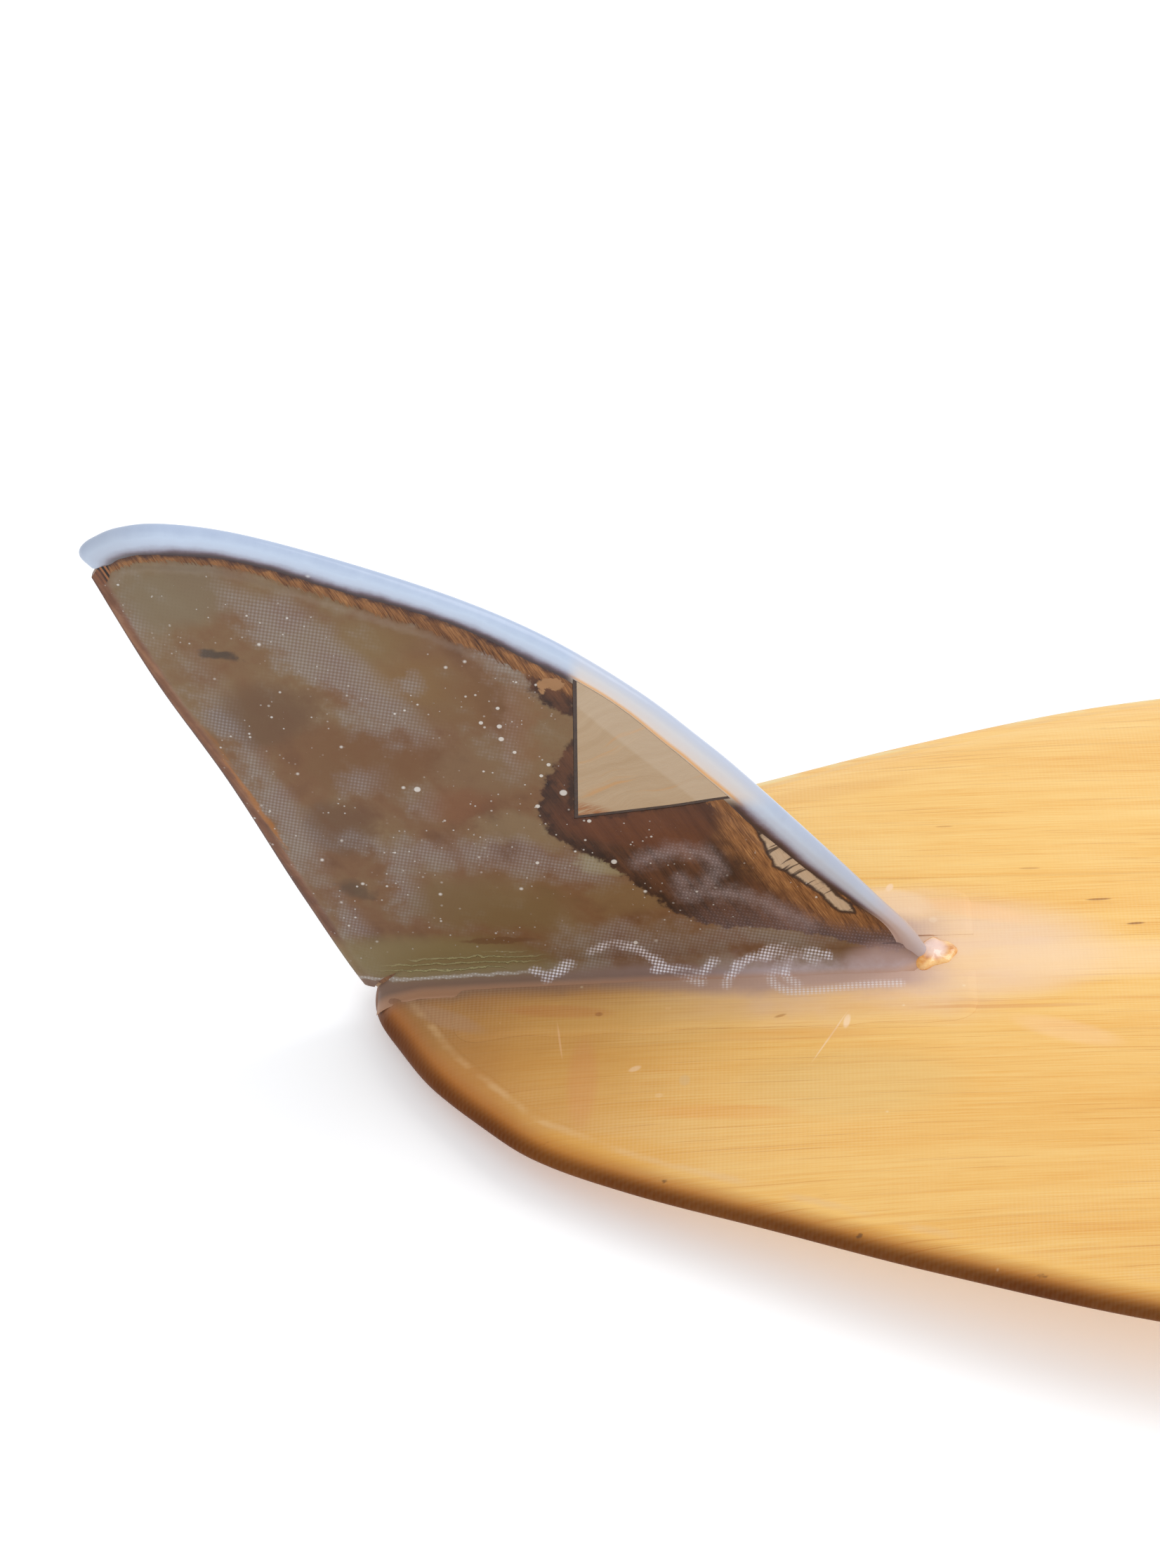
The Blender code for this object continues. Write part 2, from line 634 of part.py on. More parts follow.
def build_fillets(board, fin):
    """Concave fillets of resin and roving in the corner between the fin and the bottom."""
    for side, sign in (("left", -1), ("right", 1)):
        sections = []
        for s in FILLET_STATIONS:
            inside, floor = fillet_inside(s), visible_bottom(s)
            leg = FILLET_OUTSIDE - inside
            section = [(inside, floor - FILLET_ROOT), (inside, floor + FILLET_LEG)]
            for k in range(FILLET_ARC_STEPS + 1):
                turn = math.pi / 2 * k / FILLET_ARC_STEPS
                y = FILLET_OUTSIDE - (leg - FILLET_LIP) * math.cos(turn)
                z = floor + FILLET_LEG - (FILLET_LEG - FILLET_LIP) * math.sin(turn)
                section.append((y, z))
            section.append((FILLET_OUTSIDE, floor - FILLET_ROOT))
            sections.append([(s, sign * y, z) for y, z in section])
        n = len(sections[0])
        vertices = [v for section in sections for v in section]
        last = (len(sections) - 1) * n
        faces = [tuple(range(n)), tuple(last + k for k in reversed(range(n)))]
        for r in range(len(sections) - 1):
            for k in range(n):
                after = (k + 1) % n
                faces.append((r * n + k, (r + 1) * n + k, (r + 1) * n + after, r * n + after))
        fillet = add_object("fin_fillet_" + side, vertices, faces, "fillet")
        boolean(fillet, board)
        boolean(fillet, fin)


def build_drip(board):
    """A low hardened pool of resin in front of the bead's foot."""
    mesh = bpy.data.meshes.new("resin_drip")
    form = bmesh.new()
    bmesh.ops.create_uvsphere(
        form, u_segments=DRIP_SEGMENTS, v_segments=DRIP_RINGS, radius=1,
    )
    for vertex in form.verts:
        for axis, radius in enumerate(DRIP_RADII):
            vertex.co[axis] *= radius
    form.to_mesh(mesh)
    form.free()
    mesh.materials.append(material("drip"))
    mesh.shade_smooth()
    drip = bpy.data.objects.new("resin_drip", mesh)
    drip.location = (DRIP_STATION + SHIFT, 0, float(visible_bottom(DRIP_STATION)))
    bpy.context.scene.collection.objects.link(drip)
    boolean(drip, board)


def foot_prism(name):
    """Everything near the centre plane up to just above the fillets, to trim the fin cloth."""
    stations = [-TRIM_BEYOND, *FILLET_STATIONS, FILLET_STATIONS[-1] + TRIM_BEYOND]
    top = [(s, float(visible_bottom(max(s, 0))) + FILLET_LEG + GAP) for s in stations]
    outline = [(stations[0], 0), *top, (stations[-1], 0)]
    return prism(name, outline, -FIN_REACH, FIN_REACH)


def build_fin():
    on_lap = (ROWS_IN < LAP_ROW + 1) | (STEPS_OUT >= LAP_STEP)
    board = board_body("board_clearance", np.where(on_lap, -GAP, COVERED - GAP))
    notch = notch_prism("notch", SEAM_WIDTH + 2 * GAP)
    build_fin_wood(board, notch)
    build_repair(seam_prism("notch_seam"), notch_prism("notch_insert", 0))
    build_fin_cloth(foot_prism("notch_foot"), notch)
    build_bead(board)
    build_fillets(board, fin_body("fin_clearance", GAP))
    build_drip(board)


def main():
    for old in list(bpy.data.objects):
        bpy.data.objects.remove(old)
    build_planks()
    build_board_glass()
    build_foot_cloth()
    build_fin()


main()
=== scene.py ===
"""Looks for the clear-glassed balsa longboard that lies bottom up with its glassed-on fin.

Metres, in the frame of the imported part: +X runs towards the nose, +Y towards the surfer's right
and +Z out of the bottom. A station is a distance from the tail end, and a height on the fin is
measured from the bottom at FIN_DATUM_STATION. The fine skins repeat the part's own formulas.
"""
import math

import bmesh
import bpy
import numpy as np
from mathutils import Matrix, Vector, noise


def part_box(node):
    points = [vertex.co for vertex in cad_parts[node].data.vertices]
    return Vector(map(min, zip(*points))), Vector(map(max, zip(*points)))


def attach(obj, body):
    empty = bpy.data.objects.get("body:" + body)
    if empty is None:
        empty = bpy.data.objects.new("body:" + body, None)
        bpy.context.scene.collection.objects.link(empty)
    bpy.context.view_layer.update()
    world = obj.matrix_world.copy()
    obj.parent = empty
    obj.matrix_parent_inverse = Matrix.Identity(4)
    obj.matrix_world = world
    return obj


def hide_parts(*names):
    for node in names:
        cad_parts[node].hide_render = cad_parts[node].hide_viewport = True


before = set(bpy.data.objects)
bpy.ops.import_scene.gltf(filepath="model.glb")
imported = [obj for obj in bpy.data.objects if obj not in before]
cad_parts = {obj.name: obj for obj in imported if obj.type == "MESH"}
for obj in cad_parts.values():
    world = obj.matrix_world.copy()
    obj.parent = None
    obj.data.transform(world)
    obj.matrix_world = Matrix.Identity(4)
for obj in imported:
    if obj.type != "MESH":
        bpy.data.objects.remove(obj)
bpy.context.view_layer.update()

MM = 0.001

# ---------------------------------------------------------------- sizes of the board

BOARD_LENGTH = 2.896
TAIL_ROCKER, NOSE_ROCKER, ROCKER_POWER = 0.085, 0.088, 2.5
END_ROUNDING = 0.028
REST_SINK = 0.0030
BOTTOM_ROLL, DECK_ROLL = 3.0, 2.6
OUTLINE = [
    (0.000, 0.000), (0.012, 0.031), (0.031, 0.060), (0.050, 0.080), (0.076, 0.103),
    (0.120, 0.125), (0.179, 0.147), (0.250, 0.173), (0.356, 0.204), (0.700, 0.251),
    (1.050, 0.277), (1.400, 0.284), (1.850, 0.275), (2.300, 0.238), (2.600, 0.191),
    (2.750, 0.150), (2.850, 0.097), (2.896, 0.000),
]
THICKNESS = [
    (0.000, 0.028), (0.100, 0.039), (0.300, 0.050), (0.800, 0.068), (1.400, 0.076),
    (2.100, 0.067), (2.620, 0.048), (2.800, 0.037), (2.896, 0.024),
]
GAP, LAMINATE, FOOT_CLOTH, FIN_CLOTH = 0.0003, 0.0010, 0.0005, 0.0010
COVERED = LAMINATE + GAP
GLUE_LINES = (0.052, 0.155, 0.258)
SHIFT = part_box("deck_laminate")[0].x         # the tail end's x

STATION_STEPS, QUARTER_STEPS = 300, 34
OUTLINE_STEPS = 240
OUT_OF_LAP = 0.05            # stands for a place far from the lap's edge
LAP_WIDTH = 0.0125           # how far the deck glass laps onto the bottom, from the outline
LAP_FEATHER = 0.007          # width over which the lap's edge is sanded thin
LAP_EDGE_DEPTH = 0.00105     # depth of the deck glass at the lap's edge
LAP_HIDDEN = 0.012           # how far the fine skins run on under each other
BOTTOM_EDGE = 0.004          # the bottom glass ends this far inside the outline, under the lap

# ---------------------------------------------------------------- sizes of the fin

FIN_DATUM_STATION = 0.126
BEAD_OUTLINE = [
    (-0.1190, 0.2105), (-0.1235, 0.2132), (-0.1258, 0.2160), (-0.1250, 0.2197),
    (-0.1205, 0.2240), (-0.1100, 0.2298), (-0.0920, 0.2330), (-0.0600, 0.2300),
    (-0.0150, 0.2182), (0.0360, 0.2007), (0.0750, 0.1820), (0.1130, 0.1565),
    (0.1400, 0.1335), (0.1600, 0.1150), (0.1980, 0.0760), (0.2260, 0.0460),
    (0.2430, 0.0280), (0.2550, 0.0100),
]
BEAD_INNER = [
    (-0.1185, 0.2100), (-0.1180, 0.2115), (-0.1165, 0.2130), (-0.1145, 0.2155),
    (-0.1110, 0.2180), (-0.1030, 0.2210), (-0.0880, 0.2225), (-0.0600, 0.2210),
    (-0.0180, 0.2095), (0.0280, 0.1955), (0.0650, 0.1775), (0.1000, 0.1560),
    (0.1260, 0.1330), (0.1460, 0.1140), (0.1800, 0.0810), (0.2190, 0.0460),
    (0.2350, 0.0280), (0.2420, 0.0080),
]
TRAILING_EDGE = [
    (-0.121, 0.205), (-0.095, 0.150), (-0.065, 0.096), (-0.033, 0.031), (-0.003, -0.024),
    (0.012, -0.031),
]
INSERT_TOP, INSERT_CORNER, INSERT_FRONT = (0.085, 0.172), (0.089, 0.091), (0.156, 0.106)
SEAM_WIDTH = 0.0012
PLY_FACE = 0.0045            # half the plywood's thickness
LEADING_TAPER, LEADING_BEVEL = 0.72, 0.025     # share of thickness left, width of the bevel
TRAILING_TAPER, TRAILING_BEVEL = 0.30, 0.018
GLUE_ROOM = 0.0008           # the plywood starts this far behind the bead's inner line
FIN_ROWS, FIN_COLUMNS = 170, 96
INSERT_STEPS, INSERT_FOOT = 60, 0.080
SPLINE_STEPS, STROKE_STEPS = 24, 24
FIN_REACH = 0.03             # how far a cutter reaches to each side of the fin
NOTCH_REACH = 1.6            # length of the insert's cutters, as a share of its cut edges
UNROLL_FROM, UNROLL_RISE = 0.0056, 0.84     # patterns run down the fillet as if it were flat
SKIN_UNDER = 0.00012         # the fine skins' inner faces stand this far off the plywood
BARE_COAT = 0.00035          # resin over the wood where there is no cloth
CLOTH_SETBACK = 0.0085       # how far the cloth's edge lies behind the leading edge
CLOTH_EDGE_WANDER = 0.00176  # how far the cloth's edge strays from that line
CLOTH_EDGE_RAMP = 0.0022     # width over which the cloth's edge rises
REAR_BAND = 0.0050           # width of the uncovered bevel at the trailing edge

BEAD_HALF = 0.0045
BEAD_LAP = 0.0042            # how far the bead's resin runs onto the wood
BEAD_STEPS, BEAD_ROUND_STEPS = 220, 22
BEAD_CROWDING = 1.5          # above 1, sections lie closer together at the tip
BEAD_SINK = 0.0004           # the bead's hidden inner face starts this far in front

FILLET_LEG, FILLET_OUTSIDE = 0.0105, 0.0160
FILLET_REAR, FILLET_FRONT = 0.0015, 0.2530
FILLET_STEPS, FILLET_ARC_STEPS = 150, 14
FOOT_REAR, FOOT_FRONT, FOOT_SIDE = 0.037, 0.272, 0.045
FOOT_CORNER = 0.012          # radius of the foot cloth's corners
FOOT_UNDER_FILLET = 0.004    # how far the foot cloth runs under the fillet
FOOT_ROWS, FOOT_COLUMNS = 150, 22
DRIP_STATION, DRIP_LENGTH, DRIP_WIDTH, DRIP_HEIGHT = 0.2535, 0.0176, 0.0210, 0.0030
DRIP_RINGS, DRIP_SPOKES = 14, 48
SHARP_ANGLE = math.radians(40)


# ---------------------------------------------------------------- the part's own shape formulas

def smooth_curve(points, x):
    """Monotone cubic through (x, y) points, read at x."""
    xs, ys = np.array(points, float).T
    h = np.diff(xs)
    slope = np.diff(ys) / h
    tangent = np.zeros(len(xs))
    tangent[0], tangent[-1] = slope[0], slope[-1]
    for i in range(1, len(xs) - 1):
        if slope[i - 1] * slope[i] > 0:
            wide, narrow = 2 * h[i] + h[i - 1], h[i] + 2 * h[i - 1]
            tangent[i] = (wide + narrow) / (wide / slope[i - 1] + narrow / slope[i])
    x = np.clip(x, xs[0], xs[-1])
    i = np.clip(np.searchsorted(xs, x) - 1, 0, len(h) - 1)
    t = (x - xs[i]) / h[i]
    return (
        ys[i] * (1 + 2 * t) * (1 - t) ** 2
        + tangent[i] * h[i] * t * (1 - t) ** 2
        + ys[i + 1] * t * t * (3 - 2 * t)
        + tangent[i + 1] * h[i] * t * t * (t - 1)
    )


def spline(points, fractions):
    """Points at the given fractions of the length of a smooth curve through points."""
    p = np.array(points, float)
    p = np.vstack([2 * p[0] - p[1], p, 2 * p[-1] - p[-2]])
    fine = []
    for a, b, c, d in zip(p, p[1:], p[2:], p[3:]):
        for t in np.linspace(0, 1, SPLINE_STEPS, endpoint=False):
            fine.append(
                0.5 * (2 * b + (c - a) * t + (2 * a - 5 * b + 4 * c - d) * t * t
                       + (3 * b - a - 3 * c + d) * t ** 3)
            )
    fine.append(p[-2])
    fine = np.array(fine)
    along = np.concatenate([[0], np.cumsum(np.linalg.norm(np.diff(fine, axis=0), axis=1))])
    wanted = np.asarray(fractions) * along[-1]
    return np.stack([np.interp(wanted, along, fine[:, k]) for k in range(2)], axis=-1)


def half_width(s):
    squared = [(at, width * width) for at, width in OUTLINE]
    return np.sqrt(np.maximum(smooth_curve(squared, s), 0))


def thickness(s):
    return smooth_curve(THICKNESS, s)


MIDDLE_BOTTOM = THICKNESS[0][1] - REST_SINK + TAIL_ROCKER


def bottom_line(s):
    """Height of the bottom along the centre line, before the ends round off."""
    u = 1 - np.asarray(s) / (BOARD_LENGTH / 2)
    rocker = np.where(u > 0, TAIL_ROCKER, NOSE_ROCKER)
    return MIDDLE_BOTTOM - rocker * np.abs(u) ** ROCKER_POWER


def end_factor(s):
    """Falls from one to nothing over the last END_ROUNDING of either end."""
    u = np.clip(1 - np.minimum(s, BOARD_LENGTH - s) / END_ROUNDING, 0, 1)
    return np.sqrt(np.maximum(1 - u * u, 0))


def board_points(s, side, face):
    """Points of the glassed surface: side runs from -1 to 1, face is 1 on the bottom."""
    s, side, face = np.broadcast_arrays(s, side, face)
    half = thickness(s) / 2
    roll = np.where(face > 0, BOTTOM_ROLL, DECK_ROLL)
    rise = half * end_factor(s) * np.sqrt(np.maximum(1 - np.abs(side) ** roll, 0))
    return np.stack([s, half_width(s) * side, bottom_line(s) - half + face * rise], axis=-1)


FIN_DATUM = float(bottom_line(FIN_DATUM_STATION)) - COVERED


def visible_bottom(s):
    """Height of the bottom glass along the centre line, with the rounded tail."""
    half = thickness(s) / 2
    return bottom_line(s) - half + half * end_factor(s) - COVERED


def distance_to(path, points):
    """Distance of each (station, height) point from a line through the path's points."""
    points = np.asarray(points, float)
    nearest = np.full(points.shape[:-1], np.inf)
    for a, b in zip(path[:-1], path[1:]):
        run = b - a
        t = np.clip(((points - a) @ run) / (run @ run), 0, 1)
        gap = points - (a + t[..., None] * run)
        nearest = np.minimum(nearest, np.linalg.norm(gap, axis=-1))
    return nearest


FRONT_PATH = spline(BEAD_INNER[::-1], np.linspace(0, 1, 120))
REAR_PATH = spline(TRAILING_EDGE[::-1], np.linspace(0, 1, 60))


def smooth(value, low, high):
    """0 below low, 1 above high, and a smooth step between."""
    t = np.clip((np.asarray(value, float) - low) / (high - low), 0, 1)
    return t * t * (3 - 2 * t)


def wood_half(points):
    """Half-thickness of the shaped plywood at (station, height) points."""
    front = np.clip(distance_to(FRONT_PATH, points) / LEADING_BEVEL, 0, 1)
    rear = np.clip(distance_to(REAR_PATH, points) / TRAILING_BEVEL, 0, 1)
    lead = LEADING_TAPER + (1 - LEADING_TAPER) * front * front * (3 - 2 * front)
    trail = TRAILING_TAPER + (1 - TRAILING_TAPER) * np.sqrt(rear)
    return PLY_FACE * lead * trail


def wander(points, size, seed):
    """Smooth deterministic noise from -1 to 1 over (station, height) points."""
    flat = np.asarray(points, float).reshape(-1, points.shape[-1])
    read = [noise.noise(Vector((p[0] / size + seed, p[1] / size, 0.37 * seed))) for p in flat]
    return np.array(read).reshape(points.shape[:-1])


# ---------------------------------------------------------------- mesh helpers

def add_piece(name, points, faces, look, replaced=()):
    """A piece from (station, y, z) points, its faces turned outwards, riding on the board."""
    mesh = bpy.data.meshes.new(name)
    placed = np.array(points, float) + (SHIFT, 0, 0)
    mesh.from_pydata(placed.tolist(), [], faces)
    form = bmesh.new()
    form.from_mesh(mesh)
    bmesh.ops.recalc_face_normals(form, faces=form.faces)
    form.to_mesh(mesh)
    form.free()
    mesh.shade_smooth()
    mesh.set_sharp_from_angle(angle=SHARP_ANGLE)
    piece = bpy.data.objects.new(name, mesh)
    bpy.context.scene.collection.objects.link(piece)
    if look:
        mesh.materials.append(look)
        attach(piece, "root")
        if replaced:
            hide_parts(*replaced)
    return piece


def set_values(piece, name, values):
    """Stores one number for each point of a piece, for its material to read."""
    attribute = piece.data.attributes.new(name, "FLOAT", "POINT")
    attribute.data.foreach_set("value", np.asarray(values, np.float32).ravel())


def sheet_faces(rows, columns, front, back):
    """Faces of a closed sheet between two grids of rows x columns points."""
    faces = []
    for r in range(rows - 1):
        for c in range(columns - 1):
            a = r * columns + c
            quad = (a, a + 1, a + columns + 1, a + columns)
            faces.append(tuple(front + v for v in quad))
            faces.append(tuple(back + v for v in reversed(quad)))
    border = list(range(columns))
    border += [r * columns + columns - 1 for r in range(1, rows)]
    border += [(rows - 1) * columns + c for c in range(columns - 2, -1, -1)]
    border += [r * columns for r in range(rows - 2, 0, -1)]
    for a, b in zip(border, border[1:] + border[:1]):
        faces.append((front + b, front + a, back + a, back + b))
    return faces


def tube_faces(sections, size):
    """Faces of a closed tube through sections of the same number of points."""
    last = (sections - 1) * size
    faces = [tuple(range(size)), tuple(last + k for k in reversed(range(size)))]
    for near in range(0, last, size):
        for k in range(size):
            after, far = (k + 1) % size, near + size
            faces.append((near + k, far + k, far + after, near + after))
    return faces


def thick_sheet(name, front, back, look, replaced=()):
    """A closed solid between two grids of points of the same size."""
    rows, columns = front.shape[:2]
    points = np.concatenate([front.reshape(-1, 3), back.reshape(-1, 3)])
    faces = sheet_faces(rows, columns, 0, rows * columns)
    return add_piece(name, points, faces, look, replaced)


def prism(name, outline, low, high):
    """An outline of (station, z) points extruded along y, as a cutter."""
    n = len(outline)
    points = [(s, low, z) for s, z in outline] + [(s, high, z) for s, z in outline]
    faces = [tuple(range(n)), tuple(range(2 * n - 1, n - 1, -1))]
    faces += [(i, (i + 1) % n, n + (i + 1) % n, n + i) for i in range(n)]
    return add_piece(name, points, faces, None)


def cut(piece, cutter, operation="DIFFERENCE"):
    """Applies a Boolean to a piece and removes the cutter."""
    step = piece.modifiers.new("cut", "BOOLEAN")
    step.operation = operation
    step.solver = "EXACT"
    step.object = cutter
    bpy.context.view_layer.update()
    shaped = piece.evaluated_get(bpy.context.evaluated_depsgraph_get())
    mesh = bpy.data.meshes.new_from_object(shaped)
    piece.modifiers.clear()
    old = piece.data
    looks = list(old.materials)
    piece.data = mesh
    mesh.materials.clear()
    for look in looks:
        mesh.materials.append(look)
    bpy.data.objects.remove(cutter)
    mesh.shade_smooth()
    mesh.set_sharp_from_angle(angle=SHARP_ANGLE)


# ---------------------------------------------------------------- material helper

def linear(red, green, blue):
    """A colour given as screen values from 0 to 255, as linear light with full alpha."""
    light = []
    for value in (red, green, blue):
        v = value / 255
        light.append(v / 12.92 if v <= 0.04045 else ((v + 0.055) / 1.055) ** 2.4)
    return (*light, 1)


class Value:
    """The output of a node, which can be added, multiplied and so on."""

    def __init__(self, graph, socket):
        self.graph, self.socket = graph, socket

    def __abs__(self):
        return self.graph.math("ABSOLUTE", self)

    def __add__(self, other):
        return self.graph.math("ADD", self, other)

    def __sub__(self, other):
        return self.graph.math("SUBTRACT", self, other)

    def __rsub__(self, other):
        return self.graph.math("SUBTRACT", other, self)

    def __mul__(self, other):
        return self.graph.math("MULTIPLY", self, other)

    __radd__, __rmul__ = __add__, __mul__


class Graph:
    """One material's nodes, and the colour of its surface so far.

    A plain colour is a tuple of screen values from 0 to 255.
    """

    def __init__(self, name, roughness=0.3, coat=0.0, coat_roughness=0.08, specular=0.5):
        self.material = bpy.data.materials.new(name)
        self.material.use_nodes = True
        self.tree = self.material.node_tree
        self.shader = self.tree.nodes["Principled BSDF"]
        self.set("Roughness", roughness)
        self.set("Specular IOR Level", specular)
        self.set("Coat Weight", coat)
        self.set("Coat Roughness", coat_roughness)

    def set(self, socket, value):
        """A number or a colour on the shader's own socket, or a link to it."""
        self.put(self.shader.inputs[socket], value)

    def put(self, socket, value):
        if isinstance(value, Value):
            self.tree.links.new(value.socket, socket)
        elif isinstance(value, tuple):
            socket.default_value = linear(*value)
        else:
            socket.default_value = value

    def node(self, kind, output=0, settings=None, **inputs):
        made = self.tree.nodes.new(kind)
        for key, value in (settings or {}).items():
            setattr(made, key, value)
        for key, value in inputs.items():
            self.put(made.inputs[key.replace("_", " ")], value)
        return Value(self, made.outputs[output])

    def math(self, operation, a, b=0.0, c=0.0):
        made = self.tree.nodes.new("ShaderNodeMath")
        made.operation = operation
        for socket, value in zip(made.inputs, (a, b, c)):
            self.put(socket, value)
        return Value(self, made.outputs[0])

    def place(self):
        """Position in metres, in the frame of the part."""
        return self.node("ShaderNodeTexCoord", "Object")

    def parts(self, vector):
        made = self.tree.nodes.new("ShaderNodeSeparateXYZ")
        self.put(made.inputs[0], vector)
        return [Value(self, socket) for socket in made.outputs]

    def vector(self, x, y, z=0.0):
        return self.node("ShaderNodeCombineXYZ", X=x, Y=y, Z=z)

    def attribute(self, name):
        """A number that set_values stored on the mesh."""
        return self.node("ShaderNodeAttribute", "Fac", {"attribute_name": name})

    def noise(self, vector, size, detail=3.0, roughness=0.5, distortion=0.0):
        """Cloudy noise around 0.5 whose features are about size metres wide."""
        return self.node(
            "ShaderNodeTexNoise", Vector=vector, Scale=1 / size, Detail=detail,
            Roughness=roughness, Distortion=distortion,
        )

    def cells(self, vector, size, output="Distance"):
        return self.node("ShaderNodeTexVoronoi", output, Vector=vector, Scale=1 / size)

    def step(self, value, low, high):
        """0 below low, 1 above high, and a smooth step between; low may be above high."""
        made = self.tree.nodes.new("ShaderNodeMapRange")
        made.interpolation_type = "SMOOTHSTEP"
        self.put(made.inputs["Value"], value)
        if low < high:
            ends = (low, high, 0.0, 1.0)
        else:
            ends = (high, low, 1.0, 0.0)
        for socket, number in zip(("From Min", "From Max", "To Min", "To Max"), ends):
            made.inputs[socket].default_value = number
        return Value(self, made.outputs[0])

    def mix(self, share, a, b):
        made = self.tree.nodes.new("ShaderNodeMix")
        made.data_type = "RGBA"
        for index, value in ((0, share), (6, a), (7, b)):
            self.put(made.inputs[index], value)
        return Value(self, made.outputs[2])

    def lay(self, share, *colour):
        """Lays a share of a colour over the surface: screen values, or another node."""
        over = colour if len(colour) == 3 else colour[0]
        self.colour = self.mix(share, self.colour, over)

    def ramp(self, value, *stops):
        """Colours by value, from stops that give a value from 0 to 1 and a colour."""
        made = self.tree.nodes.new("ShaderNodeValToRGB")
        ramp = made.color_ramp
        while len(ramp.elements) < len(stops):
            ramp.elements.new(0.5)
        for element, (at, *colour) in zip(ramp.elements, stops):
            element.position = at
            element.color = linear(*colour)
        self.put(made.inputs[0], value)
        return Value(self, made.outputs[0])

    def blot(self, u, v, centre, radii, soft=0.5):
        """1 inside an ellipse of the given centre and radii, fading to 0 at its edge."""
        across = (u - centre[0]) * (1 / radii[0])
        up = (v - centre[1]) * (1 / radii[1])
        return self.step(across * across + up * up, 1.0, 1.0 - soft)

    def bump(self, height, distance):
        """Surface relief: height times distance in metres."""
        return self.node("ShaderNodeBump", Height=height, Distance=distance, Strength=1.0)

    def finish(self, relief=None, coat_relief=None):
        self.set("Base Color", self.colour)
        if relief:
            self.set("Normal", relief)
        if coat_relief:
            self.set("Coat Normal", coat_relief)
        return self.material


# ---------------------------------------------------------------- materials

GRAIN_ANGLE = math.radians(-57)      # of the fin's face veneer
CLOTH_ANGLE = math.radians(-7)       # of the fin cloth's cross threads
THREAD_ALONG, THREAD_ACROSS = 0.00181, 0.00159     # pitch of the boat cloth
RAIL_SHADE = 0.030                   # width over which the glass browns towards the rail


def turned(u, v, angle):
    """(u, v) measured along and across a direction."""
    cosine, sine = math.cos(angle), math.sin(angle)
    return u * cosine + v * sine, v * cosine - u * sine


def wood_grain(g, along, across, width, seed=0.0):
    """Soft streaks and fine fibres along one direction, each around 0.5."""
    streak = g.noise(g.vector(along * (0.045 / width), across * (1 / width), seed), 1.0, 3, 0.55)
    fine = g.noise(g.vector(along * (0.6 / width), across * (9 / width), seed + 5), 1.0, 4, 0.6)
    return streak, fine


def weave(g, u, v, pitch_u, pitch_v):
    """Plain-weave cloth: 1 on the crowns of the threads and 0 in the holes between them."""
    a = g.math("SINE", u * (2 * math.pi / pitch_u))
    b = g.math("SINE", v * (2 * math.pi / pitch_v))
    return g.math("ADD", a, b) * 0.25 + 0.5


def bubbles(g, u, v, size, share, radius, seed):
    """Round dots in some of the cells of a random pattern."""
    spot = g.vector(u + seed, v)
    away = g.cells(spot, size)
    tint = g.cells(spot, size, output="Color")
    chosen, _, scale = g.parts(tint)
    reach = (scale * 0.75 + 0.25) * radius
    return g.step(away - reach, 0.05, -0.05) * g.math("GREATER_THAN", chosen, 1 - share)


